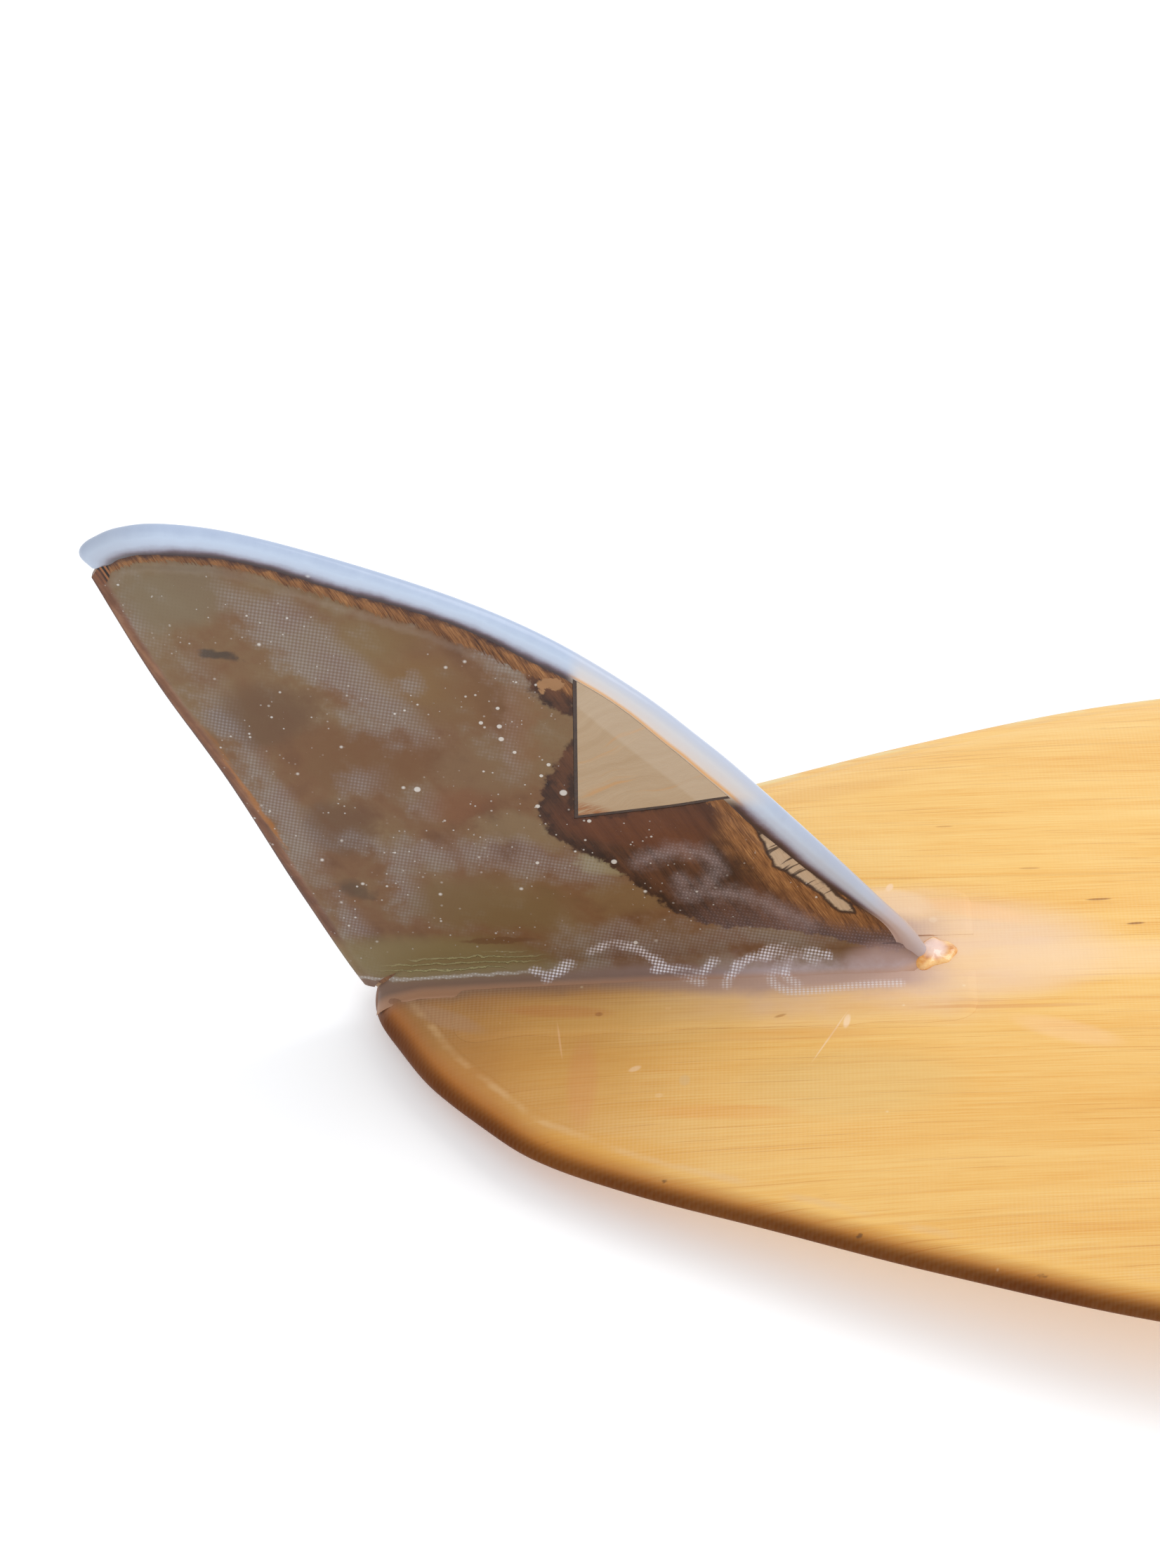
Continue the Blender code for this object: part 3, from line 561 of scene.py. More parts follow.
def glassed_balsa(name, patch=False):
    """Balsa planks under clear, honey-coloured glass; hazy round the foot of the fin."""
    g = Graph(name, roughness=0.40, coat=0.14, coat_roughness=0.16, specular=0.20)
    x, y, z = g.parts(g.place())
    s = x - SHIFT
    plank = y * 0
    for line in GLUE_LINES:
        plank = plank + g.math("GREATER_THAN", y, line) + g.math("GREATER_THAN", y, -line)
    tone = g.noise(g.vector(plank * 1.73, plank * 0.61), 1.0, 0)
    wavy = y + (g.noise(g.vector(x * 3, y * 9, plank), 1.0, 2) - 0.5) * 0.008
    broad = g.noise(g.vector(x * 2.2, wavy * 17, plank * 4), 1.0, 2)
    band = g.noise(g.vector(x * 5, wavy * 110, plank), 1.0, 3, 0.55)
    fine = g.noise(g.vector(x * 22, wavy * 1500, plank), 1.0, 5, 0.7)
    level = broad * 0.28 + band * 0.20 + fine * 0.48 + tone * 0.08 - 0.02
    g.colour = g.ramp(
        level,
        (0.36, 226, 158, 74), (0.45, 238, 182, 96), (0.53, 244, 196, 115),
        (0.62, 247, 205, 128), (0.76, 249, 213, 142),
    )
    streaks = g.noise(g.vector(x * 4.5 + 9, wavy * 330), 1.0, 4, 0.65)
    g.lay(g.step(streaks, 0.56, 0.70) * 0.34, 218, 146, 62)
    lines = g.noise(g.vector(x * 12, wavy * 1100, plank + 2), 1.0, 3)
    g.lay(g.step(lines, 0.60, 0.70) * 0.42, 188, 114, 46)
    ticks = g.noise(g.vector(x * 90, y * 1500, plank), 1.0, 1)
    where = g.noise(g.vector(x * 14, y * 60), 1.0, 2)
    g.lay(g.step(ticks, 0.71, 0.82) * g.step(where, 0.54, 0.7) * 0.5, 158, 96, 40)
    for line in GLUE_LINES:
        apart = abs(abs(y) - line)
        g.lay(g.step(apart, 0.0011, 0.0002) * 0.12, 176, 112, 48)
    cloudy = g.noise(g.vector(x * 22, y * 60), 1.0, 4, 0.55)
    blotchy = g.noise(g.vector(x, y), 0.030, 4, 0.6)
    # painted shade: the near side of the bottom is laid darker
    left = g.step(y, 0.010, -0.090)
    g.lay(left * 0.20, 214, 160, 84)
    g.lay(g.blot(s, y, (0.215, -0.080), (0.060, 0.026), 0.9) * 0.22, 208, 180, 118)
    # darker towards the tail end: partly resin pooled at the tail, partly painted shade where the
    # bottom turns down to the tail
    tail = g.step(s, 0.210, 0.010)
    g.lay(tail * (blotchy * 0.4 + 0.62), 184, 124, 62)
    g.lay(g.step(s, 0.075, 0.0) * (blotchy * 0.5 + 0.35), 146, 106, 74)
    side = abs(y)
    stained = g.step(side, 0.036, 0.012) * g.step(s, 0.170, 0.090)
    g.lay(stained * (blotchy * 0.6 + 0.25), 172, 120, 78)
    veil = g.step(side + (blotchy - 0.5) * 0.016, 0.052, 0.022)
    veil = veil * g.step(s, 0.110, 0.190) * g.step(s, 0.300, 0.250)
    front = g.blot(s, y, (0.272, 0.002), (0.074, 0.040), 0.98)
    haze = g.math("MAXIMUM", veil, front) * (g.step(cloudy, 0.20, 0.70) * 0.6 + 0.4)
    g.lay(haze * 0.86, 230, 192, 160)
    g.lay(front * 0.35, 246, 212, 178)
    trail = g.blot(s, y, (0.330, -0.006), (0.070, 0.016), 0.98)
    g.lay(trail * 0.45, 250, 214, 168)
    for station, aside, long, wide, degrees, share, *tint in BOARD_MARKS:
        along, across = turned(s - station * MM, y - aside * MM, math.radians(degrees))
        g.lay(g.blot(along, across, (0, 0), (long * MM, wide * MM), 0.8) * share, *tint)
    threads = weave(g, x, y, THREAD_ALONG, THREAD_ACROSS)

    # the deck glass lapping onto the bottom, and the rail that it wraps
    lap, rail = g.attribute("lap"), g.attribute("rail")
    line = g.step(abs(lap - 0.001 + (blotchy - 0.5) * 0.006), 0.0026, 0.0002)
    g.lay(line * g.step(cloudy, 0.40, 0.62) * 0.45, 226, 186, 134)
    # the rail browns with the doubled glass at the lap; the extra brown on the near rail, through
    # shaded, is painted shade
    shaded = g.step(y, 0.060, -0.010) * 0.68 + 0.32
    rail_brown_and_shade = (g.noise(g.vector(x * 9, y * 30, z * 30), 1.0, 3) * 0.5 + 0.75) * shaded
    g.lay(g.step(rail, 0.24, 0.86) * rail_brown_and_shade * 0.80, 166, 94, 28)
    g.lay(g.step(rail, 0.64, 1.00) * rail_brown_and_shade * 0.86, 84, 38, 8)
    g.set("Specular IOR Level", (1 - rail) * 0.18 + 0.02)
    g.set("Coat Weight", (1 - rail) * 0.12 + 0.02)
    foot = g.step(side + (blotchy - 0.5) * 0.012 - g.step(s, 0.110, 0.180) * 0.006, 0.023, 0.012)
    flat = MIDDLE_BOTTOM - TAIL_ROCKER
    foot = foot * g.step(s, 0.268, 0.238) * g.step(z, flat - 0.020, flat - 0.004)
    lilac = g.mix(g.step(s, 0.070, 0.200), (140, 106, 88), (190, 158, 148))
    g.lay(foot * 0.85, lilac)
    if patch:
        swirl = g.step(g.attribute("swirl") + (blotchy - 0.5) * 0.004, 0.0036, 0.0006)
        g.lay(swirl * (g.step(threads, 0.40, 0.75) * 0.70 + 0.06), 236, 226, 224)
    scuffs = g.noise(g.vector(x * 70, y * 160), 1.0, 3, 0.6)
    g.lay(g.step(scuffs, 0.66, 0.74) * g.step(rail, 0.3, 0.6) * 0.6, 60, 42, 34)
    pale = g.step(abs(lap - 0.006), 0.004, 0.001) * g.step(y, 0.040, 0.090)
    g.lay(pale * g.step(cloudy, 0.48, 0.62) * 0.6, 232, 216, 164)
    dry = g.step(g.noise(g.vector(x * 7, y * 12), 1.0, 3), 0.40, 0.65) * g.step(lap, 0.006, 0.0)
    g.lay(threads * (dry * 0.09 + 0.02), 255, 236, 196)
    specks = bubbles(g, x, y, 0.009, 0.07, 0.070, 0.3)
    g.lay(specks * 0.4, 250, 228, 190)
    uneven = g.noise(g.vector(x, y), 0.011, 3, 0.5)
    relief = g.bump(uneven * 0.7 + threads * dry * 0.03 + specks * 0.12, 0.0006)
    return g.finish(relief, relief)


# Small marks on the bottom: station, y and two radii in mm, degrees, share, colour
BOARD_MARKS = [
    (330, 34, 7, 0.9, 2, 0.75, 150, 92, 44), (345.5, 17, 5, 0.9, 4, 0.8, 140, 84, 40),
    (300, 57, 6, 0.8, 0, 0.4, 170, 110, 56), (262, 90, 5, 0.7, 0, 0.45, 176, 112, 52),
    (185, -40, 3.6, 3.2, 0, 0.45, 238, 190, 120), (184, -38.5, 3.4, 1, 20, 0.55, 176, 116, 60),
    (213.5, -43, 1.8, 5, -12, 0.8, 250, 216, 176), (206, -52, 20, 0.5, 62, 0.6, 248, 214, 176),
    (120, -67, 3.6, 1.8, 25, 0.75, 236, 196, 150), (142, -75, 3, 4, 0, 0.45, 212, 178, 130),
    (131, -83, 2.2, 1.6, 0, 0.5, 232, 190, 136), (235, 46, 2, 3.6, -20, 0.75, 250, 214, 178),
    (254, 22, 2.4, 2.4, 0, 0.5, 254, 224, 186), (103, -33, 2.2, 1.6, 0, 0.6, 150, 96, 52),
    (134, -31, 1.8, 1, 0, 0.5, 240, 190, 130), (97, -72, 8.5, 30, 0, 0.32, 214, 142, 92),
    (86, -48, 0.6, 13, 8, 0.5, 238, 190, 140), (34, -30, 24, 6, -30, 0.3, 186, 150, 128),
    (47, -66, 30, 8, -44, 0.3, 206, 142, 76), (110, -109, 50, 9, -14, 0.4, 222, 160, 66),
    (160, -94, 40, 5, -4, 0.35, 226, 150, 66), (190, -50, 50, 5, 0, 0.3, 228, 160, 84),
    (285, -36, 50, 1.6, 0, 0.45, 214, 150, 90), (310, -52, 30, 8, -20, 0.3, 250, 206, 160),
    (236, 36, 24, 11, -18, 0.5, 248, 214, 178), (275, 28, 30, 7, -16, 0.4, 250, 196, 140),
    (210, 125, 50, 8, 10, 0.35, 226, 166, 84), (85, -30, 30, 5, -6, 0.3, 196, 110, 60),
]


def veneer(name, light, dark, angle=GRAIN_ANGLE, glossy=0.15):
    """Plywood veneer with its fibres along one direction of the fin's plane."""
    g = Graph(name, roughness=0.55, coat=glossy, coat_roughness=0.2)
    x, _, z = g.parts(g.place())
    along, across = turned(x, z, angle)
    streak, fine = wood_grain(g, along, across, 0.006)
    g.colour = g.ramp(streak * 0.5 + fine * 0.5, (0.36, *dark), (0.64, *light))
    relief = g.bump(fine, 0.0002)
    return g.finish(relief)


def fin_glass(name):
    """Cloth and resin over brown plywood, with stains, dry weave, bubbles and bare edges."""
    g = Graph(name, roughness=0.42, coat=0.12, coat_roughness=0.22, specular=0.22)
    u, v = g.attribute("along"), g.attribute("up")
    front, rear, dark = g.attribute("front"), g.attribute("rear"), g.attribute("dark")
    place = g.vector(u, v)
    cloud = g.noise(place, 0.055, 4, 0.55, 0.4)
    mottle = g.noise(g.vector(u + 3, v), 0.016, 5, 0.65)
    smear_along, smear_across = turned(u, v, math.radians(-52))
    smear = g.noise(g.vector(smear_along * 9, smear_across * 34), 1.0, 4, 0.6)
    g.colour = g.ramp(
        cloud * 0.45 + mottle * 0.25 + smear * 0.3,
        (0.36, 98, 64, 42), (0.46, 118, 84, 56), (0.55, 124, 98, 68),
        (0.68, 134, 114, 88),
    )
    bent_u, bent_v = u + (mottle - 0.5) * 0.030, v + (cloud - 0.5) * 0.040
    for station, height, long, tall, share, *tint in FIN_BLOTCHES:
        centre, radii = (station * MM, height * MM), (long * MM, tall * MM)
        g.lay(g.blot(bent_u, bent_v, centre, radii, 0.9) * share, *tint)
    across, along = turned(u, v, CLOTH_ANGLE)
    threads = weave(g, across, along, THREAD_ACROSS, THREAD_ALONG)
    patchy = g.noise(g.vector(u + 7, v), 0.030, 3, 0.55) * 0.5
    for station, height, long, wide, degrees, share in FIN_DRY_AREAS:
        lengthwise, sideways = turned(
            bent_u - station * MM, bent_v - height * MM, math.radians(degrees),
        )
        across_area = sideways * (1 / (wide * MM))
        along_area = lengthwise * (1 / (long * MM))
        away = g.math("SQRT", across_area * across_area + along_area * along_area)
        patchy = patchy + g.math("MAXIMUM", 1.35 - away, 0) * (share * 0.75)
    patchy = patchy + (mottle - 0.5) * 1.5 + (smear - 0.5) * 1.3
    patchy = g.step(patchy, 0.30, 1.15) * 0.95
    crown = g.step(threads, 0.55, 0.95)
    g.lay(patchy * (crown * 0.34 + 0.22), 158, 156, 160)
    holes = g.step(threads, 0.30, 0.05)
    g.lay(holes * (patchy * 0.4 + 0.06), 78, 58, 44)

    # bare plywood: along the leading edge, and the stained area below the insert
    grain_along, grain_across = turned(u, v, GRAIN_ANGLE)
    streak, fine = wood_grain(g, grain_along, grain_across, 0.004)
    fibres = g.noise(g.vector(grain_along * 120, grain_across * 1500), 1.0, 3, 0.6)
    wood = g.ramp(
        streak * 0.3 + fine * 0.35 + fibres * 0.35,
        (0.37, 66, 38, 24), (0.47, 118, 76, 44), (0.56, 152, 104, 62),
        (0.66, 186, 138, 88),
    )
    stained = g.ramp(
        cloud * 0.5 + streak * 0.3 + fibres * 0.2,
        (0.36, 36, 22, 17), (0.46, 66, 41, 29), (0.55, 90, 56, 37),
        (0.68, 112, 70, 44),
    )
    rag = (g.noise(place, 0.006, 5, 0.65) - 0.5) * 0.012
    inside = g.step(dark + rag, 0.0010, -0.0010)
    red = g.blot(bent_u, bent_v, (0.116, 0.088), (0.046, 0.016), 0.8)
    stained = g.mix(red * 0.45, stained, (104, 58, 36))
    line = g.step(abs(dark + rag + 0.0020), 0.0042, 0.0002)
    ring = g.step(g.attribute("haze") + rag, 0.0085, -0.004)
    stained = g.mix(ring * (crown * 0.42 + 0.42), stained, (164, 148, 148))
    lower = g.step(v - u * 0.05 + rag, 0.046, 0.016) * g.step(u, 0.120, 0.160)
    stained = g.mix(lower * (crown * 0.40 + 0.25), stained, (134, 120, 124))
    g.lay(inside, stained)
    line = line * g.step(mottle, 0.40, 0.58) * g.step(u, 0.156, 0.120)
    g.lay(line * 0.75, 40, 26, 22)
    strip = front - g.step(u, -0.080, 0.030) * 0.0035 + rag * 0.5
    edge = g.step(strip + (fibres - 0.5) * 0.006, 0.0062, 0.0050)
    right_part = g.step(u, 0.146, 0.156) * g.step(front + rag, 0.026, 0.014)
    right_part = right_part * g.step(v, 0.026, 0.040)
    bare = g.math("MAXIMUM", edge * g.step(v, 0.024, 0.036), right_part * inside)
    g.lay(bare, wood)
    rim = g.step(abs(strip - 0.0085), 0.0035, 0.0002)
    g.lay(rim * (1 - inside) * mottle * 0.35, 160, 148, 136)
    window = g.attribute("window")
    rungs = g.noise(g.vector(grain_along * 430, grain_across * 40), 1.0, 2)
    pane = g.mix(fine, (168, 140, 110), (206, 181, 154))
    pane = g.mix(g.step(rungs, 0.58, 0.64) * 0.85, pane, (52, 34, 28))
    g.lay(g.step(window + rag * 0.3, 0.0005, -0.0005), pane)
    g.lay(g.step(abs(window + rag * 0.3), 0.0014, 0.0002) * 0.9, 50, 30, 26)
    stain = g.step(front + rag * 0.7, 0.0050, 0.0014) * g.step(v, 0.030, 0.046)
    g.lay(stain * 0.90, 50, 33, 38)
    chip = g.blot(u + rag, v + rag, (0.0745, 0.163), (0.0065, 0.0040), 0.4)
    g.lay(chip, 160, 118, 80)
    tip = g.blot(u, v, (-0.1175, 0.2090), (0.0050, 0.0075), 0.3)
    bars = g.step(g.math("SINE", (u * 0.9 + v * 0.5) * (2 * math.pi / 0.0022)), -0.2, 0.4)
    g.lay(tip, g.mix(bars, (34, 22, 18), (150, 96, 58)))

    # the bevel at the trailing edge
    band = g.step(rear + rag * 0.35, 0.0072, 0.0040) * g.step(v, -0.018, -0.006)
    bevel = g.ramp(
        streak * 0.6 + mottle * 0.4,
        (0.40, 92, 54, 38), (0.52, 122, 78, 54), (0.62, 144, 100, 72),
    )
    g.lay(band * 0.85, bevel)
    run = g.step(abs(rear - 0.0062 + (mottle - 0.5) * 0.006), 0.0024, 0.0004)
    run = run * g.step(v, 0.050, 0.066) * g.step(v, 0.140, 0.110) * g.step(streak, 0.40, 0.55)
    g.lay(run * 0.75, 158, 98, 36)
    rear_line = g.step(rear, 0.0014, 0.0004) * g.step(v, -0.018, -0.006)
    g.lay(rear_line * 0.6, 66, 38, 30)

    # the foot: olive resin with ridges behind, purple haze and dry weave in front
    lift = g.attribute("lift")
    olive = g.blot(u, v, (0.028, -0.002), (0.066, 0.020), 0.8)
    g.lay(olive * 0.80, 128, 112, 74)
    curl = g.blot(u, v + rag * 0.4 - u * 0.1, (0.056, 0.0082), (0.020, 0.0022), 0.6)
    g.lay(curl * 0.6, 100, 66, 42)
    wave = (v * 2.6 - u * 0.30) * (2 * math.pi / 0.0085) + (mottle - 0.5) * 14 + rag * 500
    ridge_area = g.blot(u, v - u * 0.18, (0.040, -0.0085), (0.042, 0.0070), 0.7)
    ridges = g.step(g.math("SINE", wave), 0.35, 0.95) * ridge_area
    g.lay(ridges * 0.60, 170, 162, 116)
    crease = g.math("MINIMUM", u * 0.154 - 0.0150, 0.0045)
    below = v - crease + rag * 0.3
    purple = g.mix(g.step(u, 0.070, 0.200), (124, 98, 84), (168, 148, 148))
    purple = g.mix(cloud, (116, 84, 68), purple)
    low = g.step(below, 0.0035, -0.0035)
    g.lay(low * 0.85, purple)
    pink = g.blot(u, v, (0.232, 0.008), (0.026, 0.020), 0.9)
    g.lay(pink * 0.75, 188, 156, 148)
    bank = g.step(u, 0.140, 0.190) * g.step(below + rag, 0.014, -0.002)
    g.lay(bank * 0.80, 190, 170, 170)
    g.lay(g.step(lift, 0.0022, 0.0) * 0.75, 186, 140, 108)
    seam = g.step(abs(below), 0.0015, 0.0003) * g.step(u, 0.085, 0.055)
    g.lay(seam * (crown * 0.5 + 0.35), 196, 190, 184)
    swirl = g.step(g.attribute("swirl") + rag * 0.6, 0.0036, 0.0006)
    swirl = swirl * g.step(mottle, 0.32, 0.58)
    g.lay(swirl * (g.step(threads, 0.40, 0.72) * 0.80 + 0.06), 236, 230, 236)

    tiny = bubbles(g, u, v, 0.0042, 0.44, 0.140, 1.7)
    small = bubbles(g, u, v, 0.009, 0.36, 0.085, 4.1)
    dust = bubbles(g, u, v, 0.0024, 0.32, 0.18, 7.3)
    gather = g.step(g.noise(g.vector(u + 11, v), 0.045, 3), 0.42, 0.58)
    cluster = g.blot(u, v, (0.062, 0.118), (0.030, 0.045), 0.8)
    gather = g.math("MAXIMUM", gather, cluster)
    froth = g.math("MAXIMUM", tiny * gather, small)
    froth = g.math("MAXIMUM", froth, dust * gather * 0.8) * g.step(front, 0.006, 0.012)
    froth = froth * g.step(lift, 0.010, 0.030)
    for station, height, radius in FIN_BUBBLES:
        dot = g.blot(u, v, (station * MM, height * MM), (radius * MM, radius * MM))
        froth = g.math("MAXIMUM", froth, dot)
    g.lay(froth * 0.75, 222, 216, 208)
    relief = g.bump(
        threads * patchy * 0.20 + froth * 0.5 + ridges * 0.9 + swirl * threads * 0.3
        + fibres * bare * 0.35 + mottle * 0.5,
        0.0005,
    )
    return g.finish(relief, g.bump(mottle * 0.8 + ridges + threads * patchy * 0.06, 0.0004))


# Soft areas of the fin: station, height and two radii in mm, share, colour
FIN_BLOTCHES = [
    (-88, 203, 34, 22, 0.75, 122, 107, 84), (-10, 182, 34, 12, 0.6, 124, 98, 60),
    (14, 163, 26, 16, 0.55, 126, 94, 54), (-68, 170, 9, 3.5, 0.8, 64, 54, 46),
    (-48, 138, 30, 24, 0.75, 100, 72, 50), (-4, 116, 42, 24, 0.75, 112, 76, 46),
    (36, 150, 24, 20, 0.55, 118, 84, 50), (62, 140, 12, 36, 0.55, 128, 90, 58),
    (44, 112, 26, 24, 0.5, 124, 98, 70), (36, 90, 18, 14, 0.55, 124, 80, 52),
    (-14, 76, 20, 22, 0.65, 96, 66, 46), (-10, 40, 10, 8, 0.6, 74, 58, 46),
    (66, 76, 30, 12, 0.6, 134, 114, 84), (50, 34, 46, 20, 0.85, 116, 92, 58),
    (100, 62, 14, 9, 0.65, 150, 140, 106), (112, 40, 24, 14, 0.6, 124, 98, 64),
    (128, 20, 16, 12, 0.5, 122, 94, 64), (52, 6, 36, 10, 0.5, 118, 96, 60),
]
# Places where the cloth is dry and grey: the same, but with degrees and no colour
FIN_DRY_AREAS = [
    (-34, 180, 44, 15, -40, 1), (0, 148, 42, 15, -46, 0.85), (-62, 128, 56, 11, -66, 0.8),
    (-34, 66, 34, 12, -64, 0.75), (22, 64, 44, 11, -6, 0.85), (80, 58, 36, 10, -14, 0.8),
    (12, 42, 24, 11, -70, 0.85), (48, 176, 40, 9, -26, 0.6), (56, 140, 42, 12, -82, 0.5),
    (-6, 103, 15, 12, -40, 0.7), (18, 90, 13, 10, -30, 0.6), (116, 14, 46, 15, 4, 0.95),
    (178, 26, 36, 10, 0, 0.8), (-8, 14, 24, 9, -62, 0.8), (-102, 188, 20, 8, -62, 0.5),
    (14, 162, 6, 6, 0, 0.9),
]
# Single large bubbles: station, height and radius in mm
FIN_BUBBLES = [
    (45, 140.5, 1.1), (53, 139, 1.3), (54, 132, 1.4), (52, 149, 1), (60, 125, 1), (75, 119, 1.1),
    (82, 103.5, 1.9), (72, 112.5, 1), (71, 95, 1.2), (18, 101, 1.7), (-60, 225, 1),
    (106, 65, 1.5), (72, 62, 1), (118, 17, 1.2), (94, 88, 1.1),
]
# Stained plywood: the outlines of the darker areas, as (station, height) in mm
DARK_BELOW_INSERT = [
    (86.5, 137), (79, 122), (73, 106), (71, 92), (78, 78), (88, 71), (101, 66), (113, 55),
    (125, 45), (138, 35), (152, 30), (178, 30), (206, 27), (224, 20), (250, 20), (200, 80),
    (156, 110), (89, 91),
]
DARK_ABOVE_INSERT = [
    (63, 172), (66, 160), (73, 151), (85, 146), (88, 170), (74, 182),
]
WINDOW = [
    (166, 91), (174, 87), (186, 72), (200, 58), (213, 45), (216, 40), (208, 42), (196, 54),
    (184, 63), (177, 67), (172, 78),
]
# Milky rings in the stained area, and strokes of dry white weave near the foot, in mm
HAZE_STROKES = [
    [(118, 66), (130, 73), (145, 73), (152, 64), (147, 52), (139, 48), (137, 56)],
    [(150, 50), (168, 48), (184, 40), (196, 34)],
]
SWIRL_STROKES = [
    [(73, -3), (80, -5), (89, 3)],
    [(78, -8), (84, -3), (89, 1)],
    [(98, 10), (108, 16), (120, 12), (131, 4), (141, -1), (148, -4)],
    [(128, 1), (140, 3), (148, 1), (154, 9)],
    [(160, -5), (162, 2), (167, 9), (174, 14), (183, 20)],
    [(205, 15), (197, 18), (188, 14), (182, 7), (180, 0), (184, -5), (193, -6), (204, -4),
     (216, -1), (228, 1), (238, 2)],
    [(186, 9), (187, 2), (192, -2)],
    [(178, 12), (187, 18), (199, 12)],
]


def milky_resin(name):
    """The bead: blue-white resin that thins to purple over the stained wood."""
    g = Graph(name, roughness=0.30, coat=0.35, coat_roughness=0.16, specular=0.35)
    u, v, across = g.attribute("along"), g.attribute("up"), g.attribute("across")
    place = g.vector(u, v)
    cloud = g.noise(place, 0.030, 3, 0.5)
    rag = (g.noise(place, 0.008, 4, 0.6) - 0.5) * g.step(u, 0.215, 0.180) * 0.20
    depth = across + rag + (cloud - 0.5) * 0.16
    body = g.ramp(
        depth,
        (0.07, 56, 36, 38), (0.16, 84, 66, 74), (0.25, 122, 114, 128),
        (0.34, 156, 158, 174), (0.52, 186, 197, 216), (0.75, 194, 208, 228),
        (1.00, 174, 188, 212),
    )
    patch = g.step(u, 0.080, 0.088) * g.step(v, 0.098, 0.108)
    over_insert = g.ramp(
        across + rag * 0.15,
        (0.02, 200, 182, 158), (0.22, 212, 198, 182), (0.29, 226, 172, 112),
        (0.35, 224, 190, 158), (0.42, 220, 210, 204), (0.75, 212, 211, 214),
        (1.00, 184, 193, 212),
    )
    g.colour = g.mix(patch, body, over_insert)
    forward = g.step(u, 0.150, 0.235) * g.step(across, 0.3, 0.6)
    g.lay(forward * 0.45, 166, 162, 170)
    toe = g.step(u, 0.212, 0.236) * g.step(v, 0.060, 0.036)
    g.lay(toe * (1 - across * 0.40), 192, 164, 152)
    rear = g.step(u, -0.085, -0.120)
    g.lay(rear * 0.35, 156, 158, 166)
    specks = bubbles(g, u, v, 0.013, 0.20, 0.07, 2.2) * g.step(across, 0.45, 0.25)
    g.lay(specks * 0.6, 226, 226, 226)
    dirt = bubbles(g, u, v, 0.021, 0.16, 0.035, 5.2)
    g.lay(dirt * 0.5, 120, 118, 112)
    relief = g.bump(cloud + g.noise(place, 0.006, 3) * 0.12, 0.0009)
    return g.finish(relief, relief)


def insert_wood(name):
    """Pale new plywood with faint orange grain, glue-stained at its corner."""
    g = Graph(name, roughness=0.40, coat=0.20, coat_roughness=0.16, specular=0.3)
    x, _, z = g.parts(g.place())
    u, v = x - SHIFT, z - FIN_DATUM
    bend = (g.noise(g.vector(u, v), 0.045, 2) - 0.5) * 0.030
    along, across = turned(u, v + bend, math.radians(24))
    streak, fine = wood_grain(g, along, across, 0.0050, 3.0)
    g.colour = g.ramp(
        streak * 0.7 + fine * 0.3,
        (0.32, 172, 144, 111), (0.52, 179, 153, 122), (0.72, 186, 162, 132),
    )
    lines = g.noise(g.vector(along * 18, across * 260), 1.0, 2)
    g.lay(g.step(lines, 0.60, 0.72) * 0.50, 200, 146, 86)
    corner = g.blot(u, v + bend * 0.3, (0.090, 0.092), (0.018, 0.0075), 0.9)
    g.lay(corner * g.step(fine, 0.35, 0.6) * 0.85, 150, 88, 38)
    front = abs((u - 0.099) * 0.674 + (v - 0.157) * 0.739)
    milky = g.step(front + bend * 0.1, 0.0135, 0.0115)
    g.lay(milky * 0.25, 206, 190, 170)
    relief = g.bump(fine, 0.00015)
    return g.finish(relief, g.bump(g.noise(g.vector(u, v), 0.010, 2), 0.0005))


def dark_glue(name):
    g = Graph(name, roughness=0.45, coat=0.2, coat_roughness=0.2)
    lumps = g.noise(g.place(), 0.002, 3)
    g.colour = g.mix(lumps, (26, 18, 16), (78, 52, 38))
    return g.finish(g.bump(lumps, 0.0003))


def amber_resin(name):
    """Hardened amber resin with a painted pink-white highlight on the top of the lump."""
    g = Graph(name, roughness=0.12, coat=0.8, coat_roughness=0.04)
    x, y, z = g.parts(g.place())
    place = g.place()
    cloud = g.noise(place, 0.006, 3, 0.6)
    g.colour = g.ramp(
        cloud, (0.30, 190, 112, 44), (0.46, 230, 160, 82), (0.62, 246, 196, 124),
    )
    # painted highlight: a pink-white spot on the top of the drip
    core = g.blot(x - SHIFT, y, (0.2535, 0.001), (0.0075, 0.0085), 0.9)
    g.lay(core * 0.85, 240, 208, 196)
    return g.finish(g.bump(g.noise(place, 0.003, 2), 0.0004))


def balsa(name, light, dark):
    """The raw planks, as seen where nothing covers them."""
    g = Graph(name, roughness=0.6)
    x, y, z = g.parts(g.place())
    streak, fine = wood_grain(g, x, g.math("ADD", y, z), 0.010)
    g.colour = g.ramp(streak * 0.6 + fine * 0.4, (0.35, *dark), (0.65, *light))
    return g.finish(g.bump(fine, 0.0002))


def floor_paint(name):
    g = Graph(name, roughness=0.9)
    mottled = g.noise(g.place(), 0.35, 3)
    g.set("Emission Color", (255, 255, 255))
    g.set("Emission Strength", 0.22)
    g.colour = g.mix(mottled, (243, 243, 244), (247, 247, 247))
    return g.finish()


# ---------------------------------------------------------------- board pieces

def crowded(steps):
    """Numbers from 0 to 1 that lie closer together towards both ends."""
    return (1 - np.cos(np.pi * np.arange(steps + 1) / steps)) / 2


def board_grid():
    """Stations and (side, face) columns of the fine skins; the last column repeats the first."""
    stations = BOARD_LENGTH * crowded(STATION_STEPS)
    n = QUARTER_STEPS
    quarter = np.sin(np.pi / 2 * np.arange(n + 1) / n)
    sides = [*quarter, *quarter[n - 1::-1], *-quarter[1:], *-quarter[n - 1::-1]]
    faces = [1.0] * n + [-1.0] * (2 * n + 1) + [1.0] * n
    return stations, np.array(sides), np.array(faces)


STATIONS, SIDES, FACES = board_grid()
SURFACE = board_points(STATIONS[:, None], SIDES[None, :], FACES[None, :])


